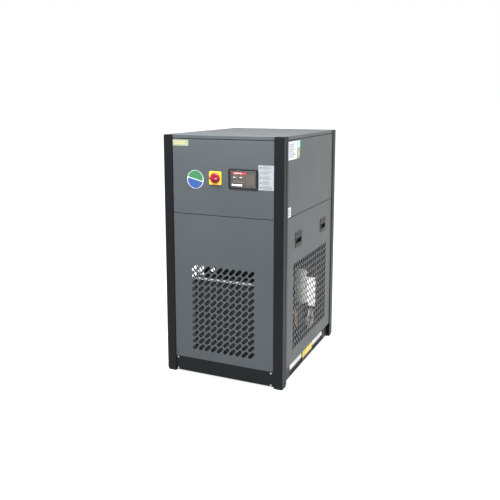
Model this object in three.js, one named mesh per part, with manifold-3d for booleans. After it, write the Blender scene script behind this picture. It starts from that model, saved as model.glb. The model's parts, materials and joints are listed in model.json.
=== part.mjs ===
// Refrigerated compressed-air dryer: a sheet-steel cabinet on four corner posts, with a main switch
// and a touch screen at the front, grilled lower panels and the refrigeration circuit inside.
// Millimetres, +Z up. The front faces -Y. The origin is on the floor at the cabinet's centre.

import * as THREE from 'three';
import { mergeVertices } from 'three/addons/utils/BufferGeometryUtils.js';
import Module from 'manifold-3d';

const wasm = await Module();
wasm.setup();

// ---------------------------------------------------------------- driving dimensions

const gap = 0.3; // between pieces that touch
const footSteps = 3; // facets of the compressor's round lower edge
const shellDomeSteps = 5; // facets of its round top
const receiverDomeSteps = 4; // facets of the receiver's round top
const overrun = 1; // how far a cutting or a joined shape runs past a face
const cornerSteps = 4; // facets of a rounded post corner
// Sides of the round pieces, from a thin stem to the fan's collar.
const facets = { stem: 10, valve: 12, spindle: 14, shaft: 16, hole: 20, vessel: 24, shell: 28, collar: 36 };
const cabinet = { width: 770, depth: 1010, height: 1470 };
const post = { frontLeg: 60, sideLeg: 65, wall: 3, lip: 22, cornerRadius: 10, cap: 3 };
const foot = { height: 12, setBack: 3, cornerRadius: 8 };
const panel = { sheet: 2, flange: 14, inset: 5, sideGap: 2, splitGap: 4, bottomGap: 2 };
const cutoutGap = 2; // around what passes through a panel
const splitHeight = 1003; // joint line between the lower and the upper panels
const lid = { lip: 20, sheet: 2, gapBelow: 4 };
const base = { top: 100, inset: 20, wall: 4, railHeight: 28, railDepth: 28, ledgeHeight: 12 };
const pocket = { width: 228, centre: 216 }; // two openings for the forks of a lift truck
const plinth = { depth: 26, wall: 3 };
const deck = { sheet: 4 };
const shelf = { sheet: 3, beforeExchanger: 25.7 };
const slot = { length: 50, width: 21, pitch: 41, lean: Math.PI / 4 };
const frontGrille = { columns: 10, rows: 13, centreHeight: 426 };
const sideGrille = { columns: 16, rows: 13, centreHeight: 450 };

const protrusion = 28; // the switch stands out of the front as far as the air pipes do at the rear
const switchGear = { across: -41, plate: 77, plateThickness: 4, corner: 5 };
const switchKnob = { radius: 31, thickness: 12 };
const switchGrip = { length: 54, width: 13, corner: 5.5 };
const switchShaft = { radius: 6, clearance: 2, panelGap: 6 };
const switchBody = { width: 56, depth: 50, setBack: 10 };
const switchGrooves = { width: 6, pitch: 16, length: 14, depth: 12 };
const screen = { across: 135.5, width: 158, height: 97, borderX: 13.5, borderZ: 9, cornerRadius: 12 };
const screenDepth = { rim: 4.4, glass: 1.8, pocket: 2.2, housing: 45 };

const latch = { width: 114, height: 92, offset: 243, belowSplit: 152, rim: 2, border: 6, depth: 16 };
const recess = { width: 98, low: -21, high: 40, depth: 14 };
const paddle = { low: 6, sideGap: 1.5, topGap: 1.5, thickness: 4, proud: 1.5 };

const condenser = { depth: 60, height: 505, margin: 4, setBack: 30, wall: 2.5, coreGap: 1, stub: 6 };
const baffle = { left: 172, holeRadius: 15, holeAcross: -110, holeAbove: 40 };
const fan = { edge: 9, tipGap: 7, rootDepth: 6, bladeCount: 5, bladeWidth: 70, bladeSheet: 3, pitch: 0.5 };
const fanHub = { radius: 62, depth: 34, toMotor: 3, bore: 8.4, boreDepth: 18 };
const fanCollar = { wall: 4, depth: 64, plate: 3 };
const fanMotor = { radius: 55, depth: 72, shaftRadius: 8, shaftLength: 16, armWidth: 16, armSheet: 6 };

const compressor = { fromSide: 75, fromRear: 460, radius: 95, height: 246, dome: 46 };
const compressorEdge = { footInset: 28.5, footRise: 23 }; // round lower edge of the shell
const compressorFoot = { margin: 11, sheet: 5, standOff: 6, grommet: 13, grommetInset: 18, corner: 18 };
const terminalBox = { width: 44, depth: 60, height: 76, low: 90, corner: 5 };
const receiver = { fromSide: 160, fromRear: 243, radius: 44, height: 420, dome: 20 };
const receiverEdge = { footInset: 8.8, footRise: 10 };
const drier = { height: 330, radius: 32, neckRadius: 8, neck: 26, cone: 12 };
const exchanger = { fromSide: 85, fromRear: 75, depth: 310, aboveAirPipes: 80, cornerRadius: 14 };
const airPipe = { aboveSplit: 117, radius: 33, bore: 26, collarRadius: 44, collar: 18, holeGap: 3 };

const refrigerantPipe = { radius: 8, sides: 10, bend: 18, bendSteps: 4, stub: 14, stubRadius: 12 };
const suction = { fromSide: 95, fromRear: 91, height: 190, top: 500 };
const discharge = { fromSide: 85, forward: 40, height: 225, top: 335 };
const liquid = { fromSide: 48, height: 46 };

const rearWindow = { fromSide: 63, width: 110, low: 185, height: 220 };
const drain = { fromRear: 130, across: 75, width: 64, depth: 84, height: 96, cornerRadius: 10 };
const ballValve = { radius: 15, neckRadius: 10.5, neck: 11.5, cone: 4.6, length: 46, stem: 5, height: 60 };
const lever = { length: 62, width: 14, thickness: 4, aboveDrain: 4, corner: 5 };
const drainPipe = { forward: 20, height: 280 };

const controlPlate = { width: 470, belowLid: 115.2, sheet: 2.5, fromFront: 125, flange: 30 };
const contactor = { across: 120, above: 40, width: 46, depth: 78, height: 82 };
const contactorNose = { out: 12, inset: 18, margin: 5 };
const terminals = { across: -110, above: 40, width: 150, depth: 42, height: 46, ways: 10 };
const terminalGroove = { width: 2, depth: 10 };
const gland = { fromSide: 73, aboveSplit: 45, radius: 15, bore: 6.5, out: 22, inside: 12, lip: 3 };
const glandNut = { radius: 19, end: 11, shoulder: 13.2 };

// ---------------------------------------------------------------- derived places

const halfWidth = cabinet.width / 2;
const halfDepth = cabinet.depth / 2;
const frontFace = halfDepth - panel.inset; // distance of the front and rear panels from the centre
const sideFace = halfWidth - panel.inset;
const frontPanelWidth = cabinet.width - 2 * (post.frontLeg + panel.sideGap);
const sidePanelWidth = cabinet.depth - 2 * (post.sideLeg + panel.sideGap);
const lowerPanelLow = base.top + panel.bottomGap;
const lowerPanelHigh = splitHeight - panel.splitGap / 2;
const upperPanelLow = splitHeight + panel.splitGap / 2;
const upperPanelHigh = cabinet.height - lid.lip - lid.gapBelow;
const instrumentHeight = (upperPanelLow + upperPanelHigh) / 2;
const deckTop = base.top + gap + deck.sheet;
const shelfTop = splitHeight + shelf.sheet / 2;
const latchHeight = splitHeight - latch.belowSplit;
const airPipeHeight = splitHeight + airPipe.aboveSplit;
const exchangerLeft = exchanger.fromSide - halfWidth;
const exchangerRear = halfDepth - exchanger.fromRear;
const compressorX = halfWidth - compressor.fromSide - compressor.radius;
const compressorY = halfDepth - compressor.fromRear;
const receiverX = halfWidth - receiver.fromSide;
const receiverY = halfDepth - receiver.fromRear;

// ---------------------------------------------------------------- materials

function finish(color, roughness, metalness) {
  return new THREE.MeshStandardMaterial({ color, roughness, metalness });
}

const paintedGrey = finish(0x70787b, 0.5, 0.1);
const paintedBlack = finish(0x2b2c2e, 0.5, 0.1);
const galvanised = finish(0xa9adaf, 0.45, 0.8);
const copper = finish(0xb06a48, 0.35, 0.9);
const brass = finish(0xb59a55, 0.35, 0.9);
const finStock = finish(0x55585a, 0.5, 0.7);
const compressorBlack = finish(0x1b1c1d, 0.45, 0.2);
const vesselGrey = finish(0x9a9d9c, 0.5, 0.2);
const foam = finish(0x202122, 0.9, 0);
const blackPlastic = finish(0x1c1d1f, 0.5, 0);
const greyPlastic = finish(0x8b8e90, 0.55, 0);
const yellowPlastic = finish(0xe8b90c, 0.4, 0);
const redPlastic = finish(0xa51622, 0.4, 0);
const glass = finish(0x1d1a18, 0.1, 0);
const rubber = finish(0x161616, 0.85, 0);
const aluminium = finish(0xb9bcbe, 0.4, 0.9);

// ---------------------------------------------------------------- solids

function toSolid(geometry) {
  const bare = geometry.clone();
  bare.deleteAttribute('normal');
  bare.deleteAttribute('uv');
  const merged = mergeVertices(bare, 1e-4);
  const corners = merged.index.array;
  const triangles = [];
  for (let i = 0; i < corners.length; i += 3) {
    const [a, b, c] = [corners[i], corners[i + 1], corners[i + 2]];
    if (a !== b && b !== c && c !== a) {
      triangles.push(a, b, c);
    }
  }
  return new wasm.Manifold(new wasm.Mesh({
    numProp: 3,
    vertProperties: merged.attributes.position.array,
    triVerts: new Uint32Array(triangles),
  }));
}

function toGeometry(solid) {
  const mesh = solid.getMesh();
  const geometry = new THREE.BufferGeometry();
  geometry.setAttribute('position', new THREE.BufferAttribute(mesh.vertProperties, mesh.numProp));
  geometry.setIndex(new THREE.BufferAttribute(mesh.triVerts, 1));
  geometry.computeVertexNormals();
  return geometry;
}

function fuse(first, ...others) {
  return toGeometry(others.reduce((sum, other) => sum.add(toSolid(other)), toSolid(first)));
}

function cut(body, ...tools) {
  return toGeometry(tools.reduce((rest, tool) => rest.subtract(toSolid(tool)), toSolid(body)));
}

function box(x0, x1, y0, y1, z0, z1) {
  const geometry = new THREE.BoxGeometry(x1 - x0, y1 - y0, z1 - z0);
  return geometry.translate((x0 + x1) / 2, (y0 + y1) / 2, (z0 + z1) / 2);
}

function outline(points) {
  return new THREE.Shape(points.map(([u, v]) => new THREE.Vector2(u, v)));
}

function rectangle(u0, u1, v0, v1) {
  return outline([[u0, v0], [u1, v0], [u1, v1], [u0, v1]]);
}

function roundedRectangle(u0, u1, v0, v1, radius) {
  const shape = new THREE.Shape();
  shape.moveTo(u0 + radius, v0);
  shape.lineTo(u1 - radius, v0);
  shape.absarc(u1 - radius, v0 + radius, radius, -Math.PI / 2, 0);
  shape.absarc(u1 - radius, v1 - radius, radius, 0, Math.PI / 2);
  shape.absarc(u0 + radius, v1 - radius, radius, Math.PI / 2, Math.PI);
  shape.absarc(u0 + radius, v0 + radius, radius, Math.PI, 1.5 * Math.PI);
  return shape;
}

function circle(radius, sides, u = 0, v = 0) {
  const points = [];
  for (let i = 0; i < sides; i += 1) {
    const angle = (2 * Math.PI * i) / sides;
    points.push([u + radius * Math.cos(angle), v + radius * Math.sin(angle)]);
  }
  return outline(points);
}

function prism(shape, length) {
  return new THREE.ExtrudeGeometry(shape, { depth: length, bevelEnabled: false, curveSegments: 3 });
}

// The outline is drawn in X and Y.
function alongZ(shape, z0, z1) {
  return prism(shape, z1 - z0).translate(0, 0, z0);
}

// The outline is drawn in X and Z.
function alongY(shape, y0, y1) {
  return prism(shape, y1 - y0).rotateX(Math.PI / 2).translate(0, y1, 0);
}

// The outline is drawn in Y and Z.
function alongX(shape, x0, x1) {
  return prism(shape, x1 - x0).rotateX(Math.PI / 2).rotateZ(Math.PI / 2).translate(x0, 0, 0);
}

// A turned piece on the Z axis. The profile is [radius, height] pairs, from low to high.
function turned(profile, sides) {
  const points = profile.map(([radius, height]) => new THREE.Vector2(radius, height));
  return new THREE.LatheGeometry(points, sides).rotateX(Math.PI / 2);
}

// A route of straight runs with a round bend at each corner.
class PipeRoute extends THREE.Curve {
  constructor(corners, bendRadius, bendSteps) {
    super();
    this.stations = [];
    const points = corners.map((corner) => new THREE.Vector3(...corner));
    points.forEach((point, i) => {
      const before = points[i - 1];
      const after = points[i + 1];
      if (!before || !after) {
        const ends = before ? [before, point] : [point, after];
        this.stations.push([point, ends[1].clone().sub(ends[0]).normalize()]);
        return;
      }
      const inward = point.clone().sub(before).normalize();
      const outward = after.clone().sub(point).normalize();
      const centre = point.clone().addScaledVector(inward, -bendRadius).addScaledVector(outward, bendRadius);
      for (let step = 0; step <= bendSteps; step += 1) {
        const angle = (step / bendSteps) * (Math.PI / 2);
        const place = centre.clone().addScaledVector(outward, -bendRadius * Math.cos(angle));
        place.addScaledVector(inward, bendRadius * Math.sin(angle));
        const heading = inward.clone().multiplyScalar(Math.cos(angle));
        this.stations.push([place, heading.addScaledVector(outward, Math.sin(angle))]);
      }
    });
  }

  station(t) {
    return this.stations[Math.round(t * (this.stations.length - 1))];
  }

  getPoint(t) {
    return this.station(t)[0].clone();
  }

  getPointAt(t) {
    return this.getPoint(t);
  }

  getTangentAt(t) {
    return this.station(t)[1].clone();
  }
}

function pipe(corners, radius = refrigerantPipe.radius) {
  const route = new PipeRoute(corners, refrigerantPipe.bend, refrigerantPipe.bendSteps);
  return new THREE.ExtrudeGeometry(circle(radius, refrigerantPipe.sides), {
    steps: route.stations.length - 1,
    extrudePath: route,
    bevelEnabled: false,
  });
}

// ---------------------------------------------------------------- scene graph

const dryer = new THREE.Group();

// Pieces of each side are drawn in the front's place, with their outer face towards -Y, and each
// side is turned about Z: the front, the right, the rear and the left.
function turnedSide(quarterTurns, distance) {
  const turn = new THREE.Group();
  turn.rotation.z = (quarterTurns * Math.PI) / 2;
  const side = new THREE.Group();
  side.position.y = -distance;
  turn.add(side);
  dryer.add(turn);
  return side;
}

const front = turnedSide(0, frontFace);
const right = turnedSide(1, sideFace);
const rear = turnedSide(2, frontFace);
const left = turnedSide(3, sideFace);

function addPiece(name, geometry, material, parent = dryer) {
  const mesh = new THREE.Mesh(geometry, material);
  mesh.name = name;
  parent.add(mesh);
  return mesh;
}

// ---------------------------------------------------------------- frame and base

// One corner's own coordinates, u in from the side and v in from the front, as places in X and Y.
function atCorner(points, signX, signY) {
  return outline(points.map(([u, v]) => [signX * (halfWidth - u), signY * (halfDepth - v)]));
}

function roundedCorner(radius, setBack = 0) {
  const points = [];
  for (let step = 0; step <= cornerSteps; step += 1) {
    const angle = (step / cornerSteps) * (Math.PI / 2);
    points.push([setBack + radius * (1 - Math.cos(angle)), setBack + radius * (1 - Math.sin(angle))]);
  }
  return points;
}

function cornerPost(signX, signY) {
  const { frontLeg, sideLeg, wall, lip, cornerRadius, cap } = post;
  const profile = atCorner([
    ...roundedCorner(cornerRadius),
    [frontLeg, 0],
    [frontLeg, lip],
    [frontLeg - wall, lip],
    [frontLeg - wall, wall],
    [wall, wall],
    [wall, sideLeg - wall],
    [lip, sideLeg - wall],
    [lip, sideLeg],
    [0, sideLeg],
  ], signX, signY);
  const top = atCorner([
    ...roundedCorner(cornerRadius),
    [frontLeg, 0],
    [frontLeg, sideLeg],
    [0, sideLeg],
  ], signX, signY);
  const shaft = alongZ(profile, foot.height, cabinet.height);
  return fuse(shaft, alongZ(top, cabinet.height - cap, cabinet.height));
}

function footPad(signX, signY) {
  const pad = atCorner([
    ...roundedCorner(foot.cornerRadius, foot.setBack),
    [post.frontLeg - foot.setBack, foot.setBack],
    [post.frontLeg - foot.setBack, post.sideLeg - foot.setBack],
    [foot.setBack, post.sideLeg - foot.setBack],
  ], signX, signY);
  return alongZ(pad, 0, foot.height - gap);
}

for (const [endName, signY] of [['front', -1], ['rear', 1]]) {
  for (const [sideName, signX] of [['left', -1], ['right', 1]]) {
    addPiece(`${endName}_${sideName}_post`, cornerPost(signX, signY), paintedBlack);
    addPiece(`${endName}_${sideName}_foot`, footPad(signX, signY), rubber);
  }
}

// A plate that reaches close to the panels on all sides and is notched around the posts.
function notchedPlate(reachX, reachY, notchX, notchY, z0, z1) {
  const corner = [[notchX, -reachY], [notchX, -notchY], [reachX, -notchY]];
  const opposite = corner.map(([x, y]) => [x, -y]).reverse();
  const rightHalf = [...corner, ...opposite];
  const leftHalf = rightHalf.map(([x, y]) => [-x, -y]);
  return alongZ(outline([...rightHalf, ...leftHalf]), z0, z1);
}

const betweenPostsX = halfWidth - post.frontLeg - gap;
const betweenPostsY = halfDepth - post.sideLeg - gap;
const insidePanelsX = sideFace - panel.flange - gap;
const insidePanelsY = frontFace - panel.flange - gap;

const deckLow = base.top + gap;
const deckPlate = notchedPlate(insidePanelsX, insidePanelsY, betweenPostsX, betweenPostsY, deckLow, deckTop);
addPiece('base_deck', deckPlate, galvanised);

// Bottom rail with two fork pockets: an angle with a low ledge along its outside, and three uprights
// that carry the deck.
function baseRail() {
  const outer = halfWidth - base.inset;
  const inner = outer - base.railDepth;
  const low = foot.height;
  const railTop = low + base.railHeight;
  const end = betweenPostsY;
  const pieces = [
    box(outer - base.wall, outer, -end, end, low, low + base.ledgeHeight),
    box(outer - 2 * base.wall, outer - base.wall, -end, end, low, railTop),
    box(inner, outer - base.wall, -end, end, low, low + base.wall),
  ];
  const pocketNear = pocket.centre - pocket.width / 2;
  const pocketFar = pocket.centre + pocket.width / 2;
  for (const [from, to] of [[-end, -pocketFar], [-pocketNear, pocketNear], [pocketFar, end]]) {
    pieces.push(box(outer - base.wall, outer, from, to, low, base.top));
    pieces.push(box(inner, outer, from, to, base.top - base.wall, base.top));
  }
  return fuse(...pieces);
}

addPiece('right_base_rail', baseRail(), paintedBlack);
addPiece('left_base_rail', baseRail().rotateZ(Math.PI), paintedBlack);

function plinthPanel() {
  const { depth, wall } = plinth;
  const low = foot.height;
  const high = base.top;
  const profile = outline([
    [0, low], [depth, low], [depth, low + wall], [wall, low + wall],
    [wall, high - wall], [depth, high - wall], [depth, high], [0, high],
  ]);
  return alongX(profile, -betweenPostsX, betweenPostsX);
}

addPiece('front_plinth', plinthPanel(), paintedBlack, front);
addPiece('rear_plinth', plinthPanel(), paintedBlack, rear);

// The shelf under the electrical compartment. The heat exchanger stands behind its rear edge.
const shelfRear = exchangerRear - exchanger.depth - shelf.beforeExchanger;
const shelfOutline = outline([
  [-betweenPostsX, -insidePanelsY], [betweenPostsX, -insidePanelsY],
  [betweenPostsX, -betweenPostsY], [insidePanelsX, -betweenPostsY],
  [insidePanelsX, shelfRear], [-insidePanelsX, shelfRear],
  [-insidePanelsX, -betweenPostsY], [-betweenPostsX, -betweenPostsY],
]);
addPiece('mid_shelf', alongZ(shelfOutline, shelfTop - shelf.sheet, shelfTop), galvanised);

function topCover() {
  const low = cabinet.height - lid.lip;
  const outer = notchedPlate(sideFace, frontFace, betweenPostsX, betweenPostsY, low, cabinet.height);
  const inner = notchedPlate(
    sideFace - lid.sheet,
    frontFace - lid.sheet,
    betweenPostsX - lid.sheet,
    betweenPostsY - lid.sheet,
    low - overrun,
    cabinet.height - lid.sheet,
  );
  return cut(outer, inner);
}

addPiece('top_cover', topCover(), paintedGrey);

// ---------------------------------------------------------------- panels

// A folded sheet panel. Its outer face is at y = 0 and its flanges turn inwards.
function foldedPanel(width, low, high, holes = []) {
  const half = width / 2;
  const { sheet, flange } = panel;
  const tray = cut(
    box(-half, half, 0, flange, low, high),
    box(-half + sheet, half - sheet, sheet, flange + overrun, low + sheet, high - sheet),
  );
  return holes.length > 0 ? cut(tray, alongY(holes, -overrun, sheet + overrun)) : tray;
}

// Leaning slots in straight columns and rows.
function grilleSlots({ columns, rows, centreHeight }) {
  const slots = [];
  const along = [Math.sin(slot.lean) * slot.length / 2, Math.cos(slot.lean) * slot.length / 2];
  const across = [Math.cos(slot.lean) * slot.width / 2, -Math.sin(slot.lean) * slot.width / 2];
  for (let column = 0; column < columns; column += 1) {
    for (let row = 0; row < rows; row += 1) {
      const u = (column - (columns - 1) / 2) * slot.pitch;
      const v = centreHeight + (row - (rows - 1) / 2) * slot.pitch;
      slots.push(outline([[1, 1], [-1, 1], [-1, -1], [1, -1]].map(([a, b]) => [
        u + a * along[0] + b * across[0],
        v + a * along[1] + b * across[1],
      ])));
    }
  }
  return slots;
}

const switchHoleRadius = switchShaft.radius + switchShaft.panelGap;
const switchHole = circle(switchHoleRadius, facets.shaft, switchGear.across, instrumentHeight);
const housing = {
  left: screen.across - screen.width / 2,
  right: screen.across + screen.width / 2,
  low: instrumentHeight - screen.height / 2,
  high: instrumentHeight + screen.height / 2,
};
const screenHole = rectangle(
  housing.left - cutoutGap,
  housing.right + cutoutGap,
  housing.low - cutoutGap,
  housing.high + cutoutGap,
);

addPiece(
  'front_upper_panel',
  foldedPanel(frontPanelWidth, upperPanelLow, upperPanelHigh, [switchHole, screenHole]),
  paintedGrey,
  front,
);
addPiece(
  'front_lower_panel',
  foldedPanel(frontPanelWidth, lowerPanelLow, lowerPanelHigh, grilleSlots(frontGrille)),
  paintedGrey,
  front,
);

// As seen from the rear, the heat exchanger is on the right.
const exchangerMiddle = -exchangerLeft / 2;
const airPipeSpread = -exchangerLeft / 4;
const airPipePlaces = { inlet: exchangerMiddle - airPipeSpread, outlet: exchangerMiddle + airPipeSpread };
const pipeHoles = Object.values(airPipePlaces).map((u) => (
  circle(airPipe.radius + airPipe.holeGap, facets.vessel, u, airPipeHeight)
));
const glandHeight = splitHeight + gland.aboveSplit;
const glandAcross = gland.fromSide - frontPanelWidth / 2;
const glandHole = circle(gland.radius + gap, facets.shaft, glandAcross, glandHeight);
const windowLeft = rearWindow.fromSide - frontPanelWidth / 2;
const serviceWindow = rectangle(
  windowLeft,
  windowLeft + rearWindow.width,
  rearWindow.low,
  rearWindow.low + rearWindow.height,
);
addPiece(
  'rear_upper_panel',
  foldedPanel(frontPanelWidth, upperPanelLow, upperPanelHigh, [...pipeHoles, glandHole]),
  paintedGrey,
  rear,
);
addPiece(
  'rear_lower_panel',
  foldedPanel(frontPanelWidth, lowerPanelLow, lowerPanelHigh, [serviceWindow]),
  paintedGrey,
  rear,
);

function latchHole(u) {
  const halfLatchWidth = latch.width / 2 - latch.border + cutoutGap;
  const halfLatchHeight = latch.height / 2 - latch.border + cutoutGap;
  return rectangle(
    u - halfLatchWidth,
    u + halfLatchWidth,
    latchHeight - halfLatchHeight,
    latchHeight + halfLatchHeight,
  );
}

function latchFrame(u) {
  const halfW = latch.width / 2;
  const halfH = latch.height / 2;
  const rim = alongY(
    roundedRectangle(u - halfW, u + halfW, latchHeight - halfH, latchHeight + halfH, latch.border),
    -gap - latch.rim,
    -gap,
  );
  const body = box(
    u - halfW + latch.border,
    u + halfW - latch.border,
    -gap - latch.rim,
    latch.depth,
    latchHeight - halfH + latch.border,
    latchHeight + halfH - latch.border,
  );
  const hollow = box(
    u - recess.width / 2,
    u + recess.width / 2,
    -gap - latch.rim - overrun,
    recess.depth,
    latchHeight + recess.low,
    latchHeight + recess.high - latch.border,
  );
  return cut(fuse(rim, body), hollow);
}

const paddleTop = recess.high - latch.border - paddle.topGap;

// A pull flap in the top of the latch's recess. It hangs from a pivot along its upper edge.
function latchPaddle(u) {
  const half = recess.width / 2 - paddle.sideGap;
  const back = paddle.thickness - paddle.proud;
  return box(u - half, u + half, -paddle.proud, back, latchHeight + paddle.low, latchHeight + paddleTop);
}

// As seen from outside, the front end is on the left of the right side and on the right of the left.
for (const [sideName, side, frontSign] of [['right', right, -1], ['left', left, 1]]) {
  const upper = foldedPanel(sidePanelWidth, upperPanelLow, upperPanelHigh);
  addPiece(`${sideName}_upper_panel`, upper, paintedGrey, side);
  const places = [['front', frontSign * latch.offset], ['rear', -frontSign * latch.offset]];
  const holes = [...grilleSlots(sideGrille), ...places.map(([, u]) => latchHole(u))];
  const lower = foldedPanel(sidePanelWidth, lowerPanelLow, lowerPanelHigh, holes);
  addPiece(`${sideName}_lower_panel`, lower, paintedGrey, side);
  for (const [endName, u] of places) {
    addPiece(`${sideName}_${endName}_latch_frame`, latchFrame(u), blackPlastic, side);
    addPiece(`${sideName}_${endName}_latch_paddle`, latchPaddle(u), blackPlastic, side);
  }
}

// ---------------------------------------------------------------- main switch and touch screen

const plateFront = -gap - switchGear.plateThickness;

function switchPlate() {
  const half = switchGear.plate / 2;
  const x = switchGear.across;
  const face = roundedRectangle(
    x - half,
    x + half,
    instrumentHeight - half,
    instrumentHeight + half,
    switchGear.corner,
  );
  face.holes.push(circle(switchShaft.radius + switchShaft.clearance, facets.shaft, x, instrumentHeight));
  return alongY(face, plateFront, -gap);
}

function switchHandle() {
  const x = switchGear.across;
  const back = plateFront - 2 * gap;
  const knob = circle(switchKnob.radius, facets.shell, x, instrumentHeight);
  const disc = alongY(knob, back - switchKnob.thickness, back);
  const spindle = circle(switchShaft.radius, facets.spindle, x, instrumentHeight);
  const shaft = alongY(spindle, back - overrun, switchBody.setBack - gap);
  const grip = alongY(roundedRectangle(
    x - switchGrip.length / 2,
    x + switchGrip.length / 2,
    instrumentHeight - switchGrip.width / 2,
    instrumentHeight + switchGrip.width / 2,
    switchGrip.corner,
  ), -protrusion, back - overrun);
  return fuse(disc, shaft, grip);
}

function switchContactBlock() {
  const { width, depth, setBack } = switchBody;
  const half = width / 2;
  const rearEnd = setBack + depth;
  const x = switchGear.across;
  const top = instrumentHeight + half;
  const block = box(x - half, x + half, setBack, rearEnd, instrumentHeight - half, top);
  const grooves = [-1, 0, 1].map((i) => {
    const centre = x + i * switchGrooves.pitch;
    return box(
      centre - switchGrooves.width / 2,
      centre + switchGrooves.width / 2,
      rearEnd - switchGrooves.length,
      rearEnd + overrun,
      top - switchGrooves.depth,
      top + overrun,
    );
  });
  return cut(block, ...grooves);
}

addPiece('main_switch_plate', switchPlate(), yellowPlastic, front);
addPiece('main_switch_handle', switchHandle(), redPlastic, front);
addPiece('main_switch_body', switchContactBlock(), greyPlastic, front);

function screenBezel() {
  const rim = alongY(roundedRectangle(
    housing.left - screen.borderX,
    housing.right + screen.borderX,
    housing.low - screen.borderZ,
    housing.high + screen.borderZ,
    screen.cornerRadius,
  ), -gap - screenDepth.rim, -gap);
  const { left: x0, right: x1, low, high } = housing;
  const rimFront = -gap - screenDepth.rim;
  const body = box(x0, x1, rimFront, screenDepth.housing, low, high);
  const pocketForGlass = box(x0, x1, rimFront - overrun, rimFront + screenDepth.pocket, low, high);
  return cut(fuse(rim, body), pocketForGlass);
}

function screenGlass() {
  const { left: x0, right: x1, low, high } = housing;
  const back = -gap - screenDepth.rim + screenDepth.pocket - gap;
  return box(x0 + gap, x1 - gap, back - screenDepth.glass, back, low + gap, high - gap);
}

addPiece('screen_bezel', screenBezel(), blackPlastic, front);
addPiece('screen_glass', screenGlass(), glass, front);

// ---------------------------------------------------------------- electrical compartment

const controlFront = -frontFace + controlPlate.fromFront;

function mountingPlate() {
  const half = controlPlate.width / 2;
  const { sheet, flange, belowLid } = controlPlate;
  const low = shelfTop + gap;
  const high = cabinet.height - lid.lip - belowLid;
  return fuse(
    box(-half, half, controlFront, controlFront + sheet, low, high),
    box(-half, half, controlFront, controlFront + flange, low, low + sheet),
  );
}

addPiece('control_plate', mountingPlate(), galvanised);

function contactorBlock() {
  const { across, above, width, depth, height } = contactor;
  const { out, inset, margin } = contactorNose;
  const low = shelfTop + above;
  const high = low + height;
  const back = controlFront - gap;
  const [x0, x1] = [across - width / 2, across + width / 2];
  const body = box(x0, x1, back - depth + out, back, low, high);
  const nose = box(
    x0 + margin,
    x1 - margin,
    back - depth,
    back - overrun,
    low + inset,
    high - inset,
  );
  return fuse(body, nose);
}

function terminalBlock() {
  const { across, above, width, depth, height, ways } = terminals;
  const low = shelfTop + above;
  const back = controlFront - gap;
  const body = box(across - width / 2, across + width / 2, back - depth, back, low, low + height);
  const pitch = width / ways;
  const grooves = [];
  for (let way = 1; way < ways; way += 1) {
    const x = across - width / 2 + way * pitch;
    grooves.push(box(
      x - terminalGroove.width / 2,
      x + terminalGroove.width / 2,
      back - depth - overrun,
      back - depth + terminalGroove.depth,
      low - overrun,
      low + height + overrun,
    ));
  }
  return cut(body, ...grooves);
}

addPiece('contactor', contactorBlock(), greyPlastic);
addPiece('terminal_block', terminalBlock(), greyPlastic);

function cableGland() {
  const { radius, bore, out, inside, lip } = gland;
  return turned([
    [bore, -inside], [radius, -inside], [radius, gap],
    [glandNut.radius, gap], [glandNut.radius, glandNut.end], [radius, glandNut.shoulder],
    [bore + lip, out], [bore, out], [bore, -inside],
  ], facets.shaft).rotateX(Math.PI / 2).translate(glandAcross, 0, glandHeight);
}

addPiece('cable_gland', cableGland(), blackPlastic, rear);

// ---------------------------------------------------------------- condenser and fan

const grilleWidth = (frontGrille.columns - 1) * slot.pitch;
const condenserHalf = grilleWidth / 2 + slot.pitch / 2 + condenser.margin;
const condenserFront = -frontFace + condenser.setBack;
const condenserRear = condenserFront + condenser.depth;
const condenserLow = deckTop + gap;
const condenserHigh = condenserLow + condenser.height;
const stubEnd = condenserHalf + condenser.stub;
const condenserMiddleY = (condenserFront + condenserRear) / 2;

// Connection stubs that stand out of a vessel or a frame, along X or along Y.
function stubX(x0, x1, y, z) {
  return alongX(circle(refrigerantPipe.stubRadius, facets.stem, y, z), x0, x1);
}

function stubY(y0, y1, x, z) {
  return alongY(circle(refrigerantPipe.stubRadius, facets.stem, x, z), y0, y1);
}

const liquidHeight = deckTop + liquid.height;

function condenserFrame() {
  const { wall } = condenser;
  const half = condenserHalf;
  const outer = box(-half, half, condenserFront, condenserRear, condenserLow, condenserHigh);
  const inner = box(
    -half + wall,
    half - wall,
    condenserFront - overrun,
    condenserRear + overrun,
    condenserLow + wall,
    condenserHigh - wall,
  );
  const stubStart = half - wall;
  return fuse(
    cut(outer, inner),
    stubX(stubStart, stubEnd, condenserMiddleY, discharge.top),
    stubX(stubStart, stubEnd, condenserMiddleY, liquidHeight),
  );
}

function condenserCore() {
  const inset = condenser.wall + condenser.coreGap;
  const face = condenser.wall * 2;
  return box(-condenserHalf + inset, condenserHalf - inset, condenserFront + face, condenserRear - face,
    condenserLow + condenser.wall + gap, condenserHigh - inset);
}

addPiece('condenser_frame', condenserFrame(), galvanised);
addPiece('condenser_core', condenserCore(), finStock);

const fanHeight = (condenserLow + condenserHigh) / 2;
const collarRadius = Math.min(condenserHalf, condenser.height / 2) - fan.edge;
const fanRadius = collarRadius - fan.tipGap;
const shroudFront = condenserRear + gap;
const collarEnd = shroudFront + fanCollar.depth;

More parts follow.
